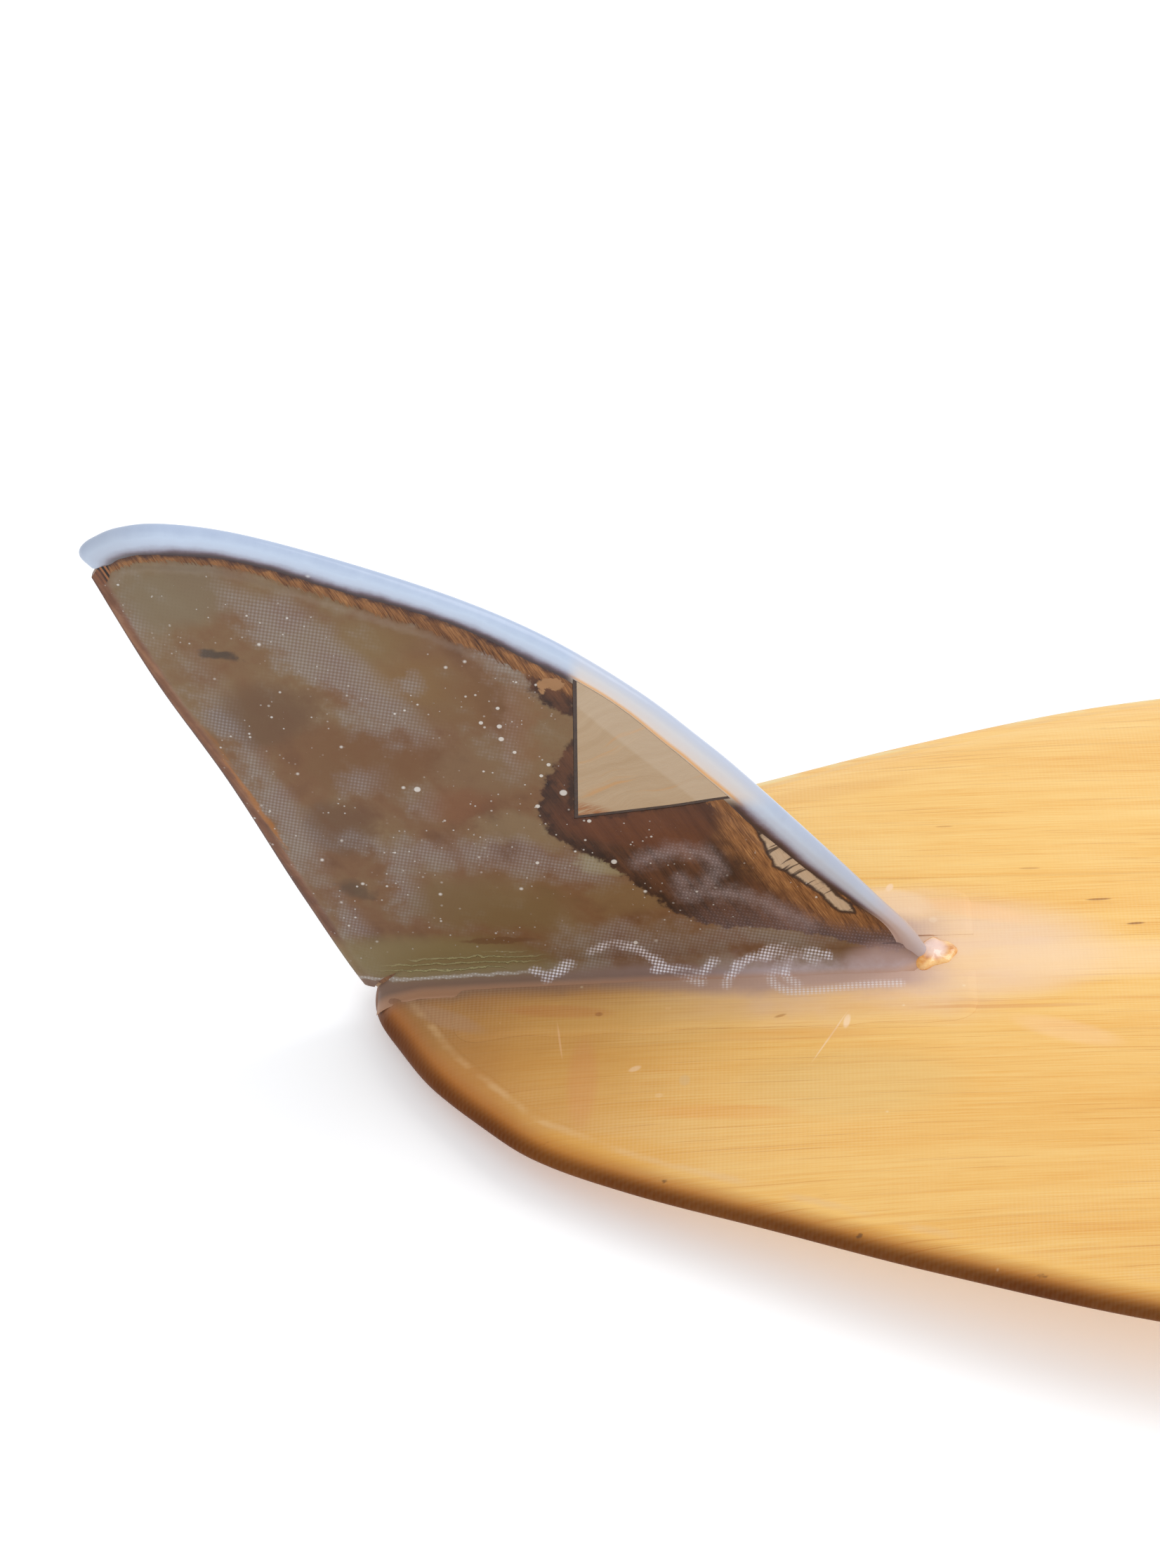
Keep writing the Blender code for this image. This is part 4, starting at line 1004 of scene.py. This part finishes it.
def surface_normals():
    along = np.gradient(SURFACE, axis=0)
    ring = SURFACE[:, :-1]
    around = np.roll(ring, -1, axis=1) - np.roll(ring, 1, axis=1)
    around = np.concatenate([around, around[:, :1]], axis=1)
    normals = np.cross(along, around)
    normals /= np.maximum(np.linalg.norm(normals, axis=2, keepdims=True), 1e-12)
    normals[0], normals[-1] = (-1, 0, 0), (1, 0, 0)
    return normals


SURFACE_NORMALS = surface_normals()


def outline_distance():
    """Distance of each grid point inwards from the board's outline, seen from above."""
    stations = BOARD_LENGTH * crowded(OUTLINE_STEPS)
    path = np.stack([stations, half_width(stations)], axis=1)
    places = np.stack([SURFACE[..., 0], np.abs(SURFACE[..., 1])], axis=-1)
    return distance_to(path, places)


INBOARD = outline_distance()
ON_BOTTOM = np.broadcast_to(FACES > 0, INBOARD.shape)
IN_LAP = np.where(ON_BOTTOM, LAP_WIDTH - INBOARD, OUT_OF_LAP)


def board_skin(name, outer, inner, kept, look, replaced):
    """A closed skin over the grid cells that are kept, between two depths below the surface."""
    layers = []
    for depth in (outer, inner):
        depth = np.broadcast_to(depth, SURFACE.shape[:2])
        layer = SURFACE - depth[:, :, None] * SURFACE_NORMALS
        layer[:, :, 2] = np.maximum(layer[:, :, 2], depth)
        layers.append(layer)
    rows, columns = SURFACE.shape[:2]
    numbers, points, faces, edges, origin = {}, [], [], {}, []

    def vertex(layer, r, k):
        key = (layer, r, 0 if r in (0, rows - 1) else k % (columns - 1))
        if key not in numbers:
            numbers[key] = len(points)
            points.append(layers[layer][key[1], key[2]])
            origin.append((key[1], key[2]))
        return numbers[key]

    for r, k in zip(*np.nonzero(kept)):
        corners = [(r, k), (r + 1, k), (r + 1, k + 1), (r, k + 1)]
        for layer in (0, 1):
            faces.append(tuple(dict.fromkeys(vertex(layer, *c) for c in corners)))
        for a, b in zip(corners, corners[1:] + corners[:1]):
            ends = (vertex(0, *a), vertex(0, *b))
            if ends[0] != ends[1]:
                wall = (*ends, vertex(1, *b), vertex(1, *a))
                edges.setdefault(tuple(sorted(ends)), []).append(wall)
    faces += [walls[0] for walls in edges.values() if len(walls) == 1]
    piece = add_piece(name, points, faces, look, replaced)
    rows_of, columns_of = np.array(origin).T
    set_values(piece, "lap", np.clip(IN_LAP[rows_of, columns_of], -OUT_OF_LAP, OUT_OF_LAP))
    shade = np.where(ON_BOTTOM, LAP_WIDTH, RAIL_SHADE)[rows_of, columns_of]
    set_values(piece, "rail", np.clip(1 - INBOARD[rows_of, columns_of] / shade, 0, 1))
    return piece


def cells(kept):
    """The cells that have all four of their corners kept."""
    return kept[:-1, :-1] & kept[1:, :-1] & kept[:-1, 1:] & kept[1:, 1:]


def build_board(look):
    under = ON_BOTTOM & (INBOARD > BOTTOM_EDGE)
    board_skin("bottom_skin", COVERED, COVERED + LAMINATE, cells(under), look, ["bottom_laminate"])
    lapped = IN_LAP > -LAP_HIDDEN
    depth = LAP_EDGE_DEPTH * (1 - smooth(IN_LAP, 0, LAP_FEATHER))
    depth += (COVERED + LAMINATE / 2 - LAP_EDGE_DEPTH) * smooth(-IN_LAP, 0, LAP_HIDDEN / 2)
    inner = np.maximum(LAMINATE, depth + LAMINATE / 4)
    board_skin("deck_skin", depth, inner, cells(lapped), look, ["deck_laminate"])


def build_foot_patches(look):
    """Reinforcing cloth at each side of the fin's foot, feathered at its edges."""
    for side, sign in (("left", -1), ("right", 1)):
        along, across = np.linspace(0, 1, FOOT_ROWS), np.linspace(0, 1, FOOT_COLUMNS)
        s = FOOT_REAR + (FOOT_FRONT - FOOT_REAR) * along[:, None] + 0 * across
        inner = FILLET_OUTSIDE - FOOT_UNDER_FILLET
        end = np.minimum(s - FOOT_REAR, FOOT_FRONT - s)
        corner = 1 - np.clip(end / FOOT_CORNER, 0, 1)
        rounding = FOOT_CORNER * (1 - np.sqrt(1 - corner ** 2))
        reach = FOOT_SIDE - rounding + 0.0008 * np.sin(s * 160) + 0.0006 * np.sin(s * 71)
        y = inner + (reach - inner) * across[None, :]
        inside = y - inner + 0.02 * smooth(FILLET_FRONT - s, -0.004, 0.012)
        edge = np.minimum(np.minimum(end, inside), reach - y)
        height = FOOT_CLOTH * smooth(edge, -0.0002, 0.0040) + 0.00008
        base = board_points(s, y / half_width(s), 1.0)
        base[..., 2] -= COVERED
        base[..., 1] *= sign
        front = base + np.stack([0 * s, 0 * s, height], axis=-1)
        back = base + (0, 0, 0.00003)
        piece = thick_sheet(
            "foot_patch_" + side, front, back, look, ["foot_cloth_" + side],
        )
        set_values(piece, "lap", np.full(2 * s.size, -OUT_OF_LAP))
        set_values(piece, "rail", np.zeros(2 * s.size))
        paint_fin(piece)


# ---------------------------------------------------------------- fin pieces

def fillet_top(s):
    """Height on the fin, above FIN_DATUM, at which the fillets end."""
    return visible_bottom(np.maximum(s, 0)) - FIN_DATUM + FILLET_LEG


def fin_grid(rows, columns, foot):
    """(station, height) points over the wood, from the height foot(station) to the tip."""
    fine = np.linspace(0, 1, 4 * rows + 1)
    front = spline(BEAD_INNER[::-1], fine)
    rear = spline(TRAILING_EDGE[::-1], fine)
    run = rear - front
    length = np.linalg.norm(run, axis=1, keepdims=True)
    front = front + run / length * GLUE_ROOM
    shares = 0.5 * crowded(columns) + 0.5 * np.linspace(0, 1, columns + 1)
    grid = []
    for share in shares:
        line = front + (rear - front) * share
        above = line[:, 1] - foot(line[:, 0])
        start = int(np.argmax(above > 0))
        if start > 0:
            t = -above[start - 1] / (above[start] - above[start - 1])
            first = fine[start - 1] + t * (fine[start] - fine[start - 1])
        else:
            first = 0.0
        wanted = np.linspace(first, 1, rows + 1)
        grid.append(np.stack([np.interp(wanted, fine, line[:, k]) for k in range(2)], axis=-1))
    return np.array(grid).transpose(1, 0, 2)


def raised(points, y):
    """(station, height) points as (station, y, z)."""
    y = np.broadcast_to(y, points.shape[:-1])
    return np.stack([points[..., 0], y, points[..., 1] + FIN_DATUM], axis=-1)


def cloth_rise(points):
    """How far the resin stands off the wood: a bare strip, then the cloth's wavy edge."""
    front = distance_to(FRONT_PATH, points)
    rear = distance_to(REAR_PATH, points)
    edge = CLOTH_SETBACK + CLOTH_EDGE_WANDER * wander(points, 0.030, 2.0)
    share = smooth(front, edge - CLOTH_EDGE_RAMP / 2, edge + CLOTH_EDGE_RAMP / 2)
    share = share * smooth(rear, REAR_BAND - CLOTH_EDGE_RAMP / 2, REAR_BAND + CLOTH_EDGE_RAMP)
    waves = 0.00012 * wander(points, 0.045, 5.0) + 0.00005 * wander(points, 0.012, 9.0)
    return BARE_COAT + (FIN_CLOTH - BARE_COAT + waves) * share


def cut_line(start, end, offset):
    """A line's two ends, moved sideways to its right by offset."""
    run = np.subtract(end, start)
    right = np.array([run[1], -run[0]]) / np.hypot(*run)
    return np.array(start) + right * offset, np.array(end) + right * offset


def notch_corner(offset):
    """Top, corner and front of the insert's two cut edges, moved outwards by offset."""
    top, upright = cut_line(INSERT_CORNER, INSERT_TOP, -offset)[::-1]
    level, front = cut_line(INSERT_CORNER, INSERT_FRONT, offset)
    up, along = top - upright, front - level
    share = np.linalg.solve(np.array([up, -along]).T, level - upright)[0]
    corner = upright + share * up
    return corner + up * NOTCH_REACH, corner, corner + along * NOTCH_REACH


def lifted(outline):
    return [(s, height + FIN_DATUM) for s, height in outline]


def notch_prism(name, offset):
    top, corner, front = notch_corner(offset)
    return prism(name, lifted([top, corner, front, (front[0], top[1])]), -FIN_REACH, FIN_REACH)


def signed_distance(outline, points):
    """Distance to a closed outline, negative inside it."""
    ring = np.array([*outline, outline[0]], float)
    away = distance_to(ring, points)
    inside = np.zeros(len(points), bool)
    for (x0, y0), (x1, y1) in zip(ring[:-1], ring[1:]):
        crosses = (y0 > points[:, 1]) != (y1 > points[:, 1])
        level = (points[:, 1] - y0) / (y1 - y0 if y1 != y0 else 1)
        inside ^= crosses & (points[:, 0] < x0 + level * (x1 - x0))
    return np.where(inside, -away, away)


def paint_fin(piece):
    """Stores the distances that the fin's material reads."""
    read = np.zeros(len(piece.data.vertices) * 3)
    piece.data.vertices.foreach_get("co", read)
    read = read.reshape(-1, 3)
    station, height = read[:, 0] - SHIFT, read[:, 2] - FIN_DATUM
    unrolled = height - UNROLL_RISE * np.maximum(np.abs(read[:, 1]) - UNROLL_FROM, 0)
    places = np.stack([station, unrolled], axis=1)
    set_values(piece, "along", station)
    set_values(piece, "up", unrolled)
    set_values(piece, "front", distance_to(FRONT_PATH, places))
    set_values(piece, "rear", distance_to(REAR_PATH, np.stack([station, height], axis=1)))
    set_values(piece, "lift", read[:, 2] - visible_bottom(np.maximum(station, 0)))
    below, above, window = (
        signed_distance(np.array(outline) * MM, places)
        for outline in (DARK_BELOW_INSERT, DARK_ABOVE_INSERT, WINDOW)
    )
    set_values(piece, "dark", np.minimum(below, above))
    set_values(piece, "window", window)
    for name, strokes in (("haze", HAZE_STROKES), ("swirl", SWIRL_STROKES)):
        fractions = np.linspace(0, 1, STROKE_STEPS)
        lines = [spline(np.array(path) * MM, fractions) for path in strokes]
        set_values(piece, name, np.min([distance_to(line, places) for line in lines], axis=0))


def build_fin_skins(look):
    """Cloth and resin over each side of the plywood."""
    grid = fin_grid(FIN_ROWS, FIN_COLUMNS, lambda s: fillet_top(s) - 0.0004)
    wood = wood_half(grid)
    rise = cloth_rise(grid)
    for suffix, sign in (("left", -1), ("right", 1)):
        front, back = raised(grid, sign * (wood + rise)), raised(grid, sign * (wood + SKIN_UNDER))
        piece = thick_sheet(
            "fin_skin_" + suffix, front, back, look, ["fin_cloth_" + suffix],
        )
        cut(piece, notch_prism("notch", SEAM_WIDTH + 2 * GAP))
        paint_fin(piece)


def build_repair(insert_look, glue_look):
    """The pale wedge let into the leading edge, and the dark glue along its two cut edges."""
    grid = fin_grid(INSERT_STEPS, INSERT_STEPS, lambda s: 0 * s + INSERT_FOOT)
    wood = wood_half(grid)

    def body(name, proud, look, replaced, slot):
        skin = wood + proud
        return thick_sheet(
            name, raised(grid, -skin), raised(grid, skin), look, replaced,
        )

    insert = body(
        "repair_insert", FIN_CLOTH + 0.0001, insert_look, ["fin_repair_insert"], "insert_ply",
    )
    cut(insert, notch_prism("wedge", 0), "INTERSECT")
    seam = body("repair_seam", FIN_CLOTH - 0.0002, glue_look, ["fin_repair_seam"], "glue")
    outside, inside = notch_corner(SEAM_WIDTH + 1.6 * GAP), notch_corner(0.2 * GAP)
    bar = prism("bar", lifted([*outside, *reversed(inside)]), -FIN_REACH, FIN_REACH)
    cut(seam, bar, "INTERSECT")


def build_bead(look):
    """Rounded resin bead along the leading edge, whose thin lips lap onto the plywood."""
    fractions = np.linspace(0, 1, BEAD_STEPS + 1) ** BEAD_CROWDING
    outer, inner = spline(BEAD_OUTLINE, fractions), spline(BEAD_INNER, fractions)
    run = outer - inner
    width = np.linalg.norm(run, axis=1)
    direction = run / np.maximum(width, 1e-6)[:, None]
    lap = BEAD_LAP * np.clip(width / 0.008, 0.05, 1)
    lap = lap * (1 + 0.25 * wander(inner, 0.018, 3.0))
    lap = lap * (1 - 0.7 * smooth(inner[:, 0], 0.215, 0.232))
    n = BEAD_ROUND_STEPS
    share = crowded(n)
    points, across = [], []
    for near, way, wide, lip in zip(inner, direction, width, lap):
        t = (wide + lip) * share - lip
        wood = wood_half(near - way * np.clip(-t, 0, None)[:, None])
        start = min(1.0, wide / 0.004)
        low = wood + BARE_COAT + 0.00004
        full = low + (BEAD_HALF - low) * smooth(t, -lip, wide * 0.30)
        fall = np.clip((t - wide * 0.42) / (wide * 0.58 + 1e-6), 0, 1)
        half = full * np.sqrt(np.maximum(1 - fall ** 2.3, 0)) * start ** 0.5
        hidden = min(wood[0] + SKIN_UNDER, half[0] - 0.00002)
        back, front = max(-lip, -0.0030), BEAD_SINK
        ring = [(near + way * t[k], half[k]) for k in range(n + 1)]
        ring += [(near + way * t[k], -half[k]) for k in range(n - 1, -1, -1)]
        ring += [(near + way * at, side * hidden) for at, side in
                 ((back, -1), (front, -1), (front, 1), (back, 1))]
        points += [(p[0], y, p[1] + FIN_DATUM) for p, y in ring]
        across += [*share, *share[n - 1::-1], 0, 0, 0, 0]
    faces = tube_faces(BEAD_STEPS + 1, len(ring))
    piece = add_piece("bead", points, faces, look, ["fin_bead"])
    set_values(piece, "across", across)
    set_values(piece, "along", [p[0] for p in points])
    set_values(piece, "up", [p[2] - FIN_DATUM for p in points])


def build_fillets(look):
    """Concave fillets of resin and roving between the fin and the bottom, lumpy by hand."""
    s = FILLET_REAR + (FILLET_FRONT - FILLET_REAR) * np.linspace(0, 1, FILLET_STEPS + 1)
    floor = visible_bottom(s)
    top = np.stack([s, fillet_top(s)], axis=1)
    wood = wood_half(top)
    ahead = smooth(s, 0.196, 0.225)
    skin = (wood + FIN_CLOTH - 0.00015) * (1 - ahead) + (BEAD_HALF - 0.0002) * ahead
    aft = smooth(s, FILLET_REAR - 0.004, 0.014)
    skin = skin * aft
    taper = smooth(s, FILLET_FRONT + 0.0010, 0.236)
    skin = skin * (0.10 + 0.90 * smooth(s, FILLET_FRONT + 0.0010, 0.243))
    lumps = np.stack([s, 0 * s], axis=1)
    uneven = 0.0006 * wander(lumps, 0.020, 7.0) + 0.0003 * wander(lumps, 0.006, 8.0)
    for side, sign in (("left", -1), ("right", 1)):
        points = []
        for i in range(len(s)):
            reach = (FILLET_OUTSIDE - skin[i]) * (0.12 + 0.88 * taper[i]) + uneven[i] * taper[i]
            leg = FILLET_LEG * (0.03 + 0.97 * taper[i])
            section = [(0.0005 * aft[i], floor[i] - 0.0002), (0.0005 * aft[i], floor[i] + leg)]
            for k in range(FILLET_ARC_STEPS + 1):
                turn = math.pi / 2 * k / FILLET_ARC_STEPS
                y = skin[i] + reach * (1 - math.cos(turn))
                z = floor[i] + leg * (1 - math.sin(turn)) + 0.0001
                section.append((y, z))
            section.append((skin[i] + reach + 0.0004, floor[i] - 0.0002))
            points += [(s[i], sign * y, z) for y, z in section]
        faces = tube_faces(FILLET_STEPS + 1, len(section))
        piece = add_piece(
            "fillet_" + side, points, faces, look, ["fin_fillet_" + side],
        )
        paint_fin(piece)


def build_drip(look):
    """A lumpy pool of hardened resin round the toe of the bead."""
    rings, spokes = DRIP_RINGS, DRIP_SPOKES
    points, faces = [], []
    for ring in range(rings + 1):
        share = ring / rings
        for k in range(spokes):
            angle = 2 * math.pi * k / spokes
            lobes = 1 + 0.16 * math.sin(2 * angle + 0.6) + 0.10 * math.sin(3 * angle + 2.1)
            lobes += 0.06 * math.sin(5 * angle) + 0.03 * math.sin(9 * angle + 1.0)
            reach = share * lobes
            s = DRIP_STATION + DRIP_LENGTH / 2 * reach * math.cos(angle)
            y = DRIP_WIDTH / 2 * reach * math.sin(angle)
            lump = noise.noise(Vector((s * 190, y * 190, 1.5)))
            dome = (1 - share ** 2.5) ** 0.7 * (1 + 0.35 * lump)
            rise = DRIP_HEIGHT * dome + 0.0001
            points.append((s, y, float(visible_bottom(s)) + rise))
    for ring in range(rings):
        for k in range(spokes):
            a, b = ring * spokes + k, ring * spokes + (k + 1) % spokes
            faces.append((a, b, b + spokes, a + spokes))
    rim = rings * spokes
    top = len(points)
    for k in range(spokes):
        s, y, _ = points[rim + k]
        points.append((s, y, float(visible_bottom(s)) - 0.0001))
    for k in range(spokes):
        after = (k + 1) % spokes
        faces.append((rim + k, rim + after, top + after, top + k))
    faces.append(tuple(top + k for k in range(spokes)))
    piece = add_piece("drip", points, faces, look, ["resin_drip"])
    mesh = bmesh.new()
    mesh.from_mesh(piece.data)
    bmesh.ops.remove_doubles(mesh, verts=mesh.verts, dist=1e-6)
    mesh.to_mesh(piece.data)
    mesh.free()


# ---------------------------------------------------------------- camera, light and floor

CAMERA_ELEVATION, CAMERA_ROLL = 40.0, 3.0
CAMERA_DISTANCE = 1.7
LENS, SENSOR = 85.4, 36.0
FLOOR_HALF, FLOOR_BELOW = 40.0, 0.0005
AIM_RIGHT, AIM_UP = -0.0327, 0.0818       # from FIN_DATUM to the middle of the picture


def build_camera():
    elevation, roll = math.radians(CAMERA_ELEVATION), math.radians(CAMERA_ROLL)
    forward = Vector((0, math.cos(elevation), -math.sin(elevation)))
    level = Vector((1, 0, 0))
    right = math.cos(roll) * level + math.sin(roll) * level.cross(forward)
    up = right.cross(forward)
    foot = Vector((FIN_DATUM_STATION + SHIFT, 0, FIN_DATUM))
    aim = foot + AIM_RIGHT * right + AIM_UP * up
    data = bpy.data.cameras.new("camera")
    data.lens, data.sensor_width = LENS, SENSOR
    data.clip_start, data.clip_end = 0.05, 100
    camera = bpy.data.objects.new("camera", data)
    turn = Matrix((right, up, -forward)).transposed()
    camera.matrix_world = Matrix.Translation(aim - CAMERA_DISTANCE * forward) @ turn.to_4x4()
    bpy.context.scene.collection.objects.link(camera)
    bpy.context.scene.camera = camera


def add_light(name, place, aim, size, power, tint):
    data = bpy.data.lights.new(name, "AREA")
    data.shape = "RECTANGLE"
    data.size, data.size_y = size
    data.energy, data.color = power, tint
    light = bpy.data.objects.new(name, data)
    light.location = place
    light.rotation_mode = "QUATERNION"
    light.rotation_quaternion = (Vector(aim) - Vector(place)).to_track_quat("-Z", "Y")
    bpy.context.scene.collection.objects.link(light)


def build_stage():
    world = bpy.data.worlds.new("studio")
    world.use_nodes = True
    back = world.node_tree.nodes["Background"]
    back.inputs["Color"].default_value = (0.95, 0.97, 1.0, 1)
    back.inputs["Strength"].default_value = 0.88
    bpy.context.scene.world = world
    add_light("key", (1.6, 1.2, 3.4), (-0.6, 0, 0), (3.5, 3.0), 76, (1.0, 0.985, 0.96))
    add_light("fill", (-1.6, -3.2, 2.2), (-1.1, 0, 0.1), (3.0, 2.0), 8, (0.94, 0.97, 1.0))
    mesh = bpy.data.meshes.new("floor")
    corners = ((-1, -1), (1, -1), (1, 1), (-1, 1))
    level = [(x * FLOOR_HALF, y * FLOOR_HALF, -FLOOR_BELOW) for x, y in corners]
    mesh.from_pydata(level, [], [(0, 1, 2, 3)])
    floor = bpy.data.objects.new("floor", mesh)
    mesh.materials.append(floor_paint("floor_paint"))
    bpy.context.scene.collection.objects.link(floor)
    bpy.context.scene.view_settings.view_transform = "Standard"


# ---------------------------------------------------------------- the model

def dress_cad_nodes():
    """Gives every CAD node its material; most stay hidden inside the fine skins."""
    face = veneer("face_veneer", (150, 104, 68), (74, 46, 32))
    cross = veneer("cross_veneer", (196, 158, 118), (140, 104, 72), math.radians(33))
    core = veneer("core_veneer", (130, 88, 56), (70, 42, 28))
    plank = balsa("raw_balsa", (226, 186, 130), (196, 148, 88))
    rail = balsa("raw_rail", (206, 158, 100), (170, 116, 62))
    hidden = dark_glue("hidden_resin")
    looks = {"fin_face": face, "fin_cross": cross, "fin_core": core, "plank": plank, "rail": rail}
    for name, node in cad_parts.items():
        look = next((m for start, m in looks.items() if name.startswith(start)), hidden)
        node.data.materials.clear()
        node.data.materials.append(look)


def main():
    build_camera()
    build_stage()
    dress_cad_nodes()
    glass = fin_glass("fin_glass")
    build_board(glassed_balsa("glassed_balsa"))
    build_foot_patches(glassed_balsa("foot_cloth_glass", patch=True))
    build_fin_skins(glass)
    build_repair(insert_wood("insert_wood"), dark_glue("dark_glue"))
    build_bead(milky_resin("milky_resin"))
    build_fillets(glass)
    build_drip(amber_resin("amber_resin"))


main()
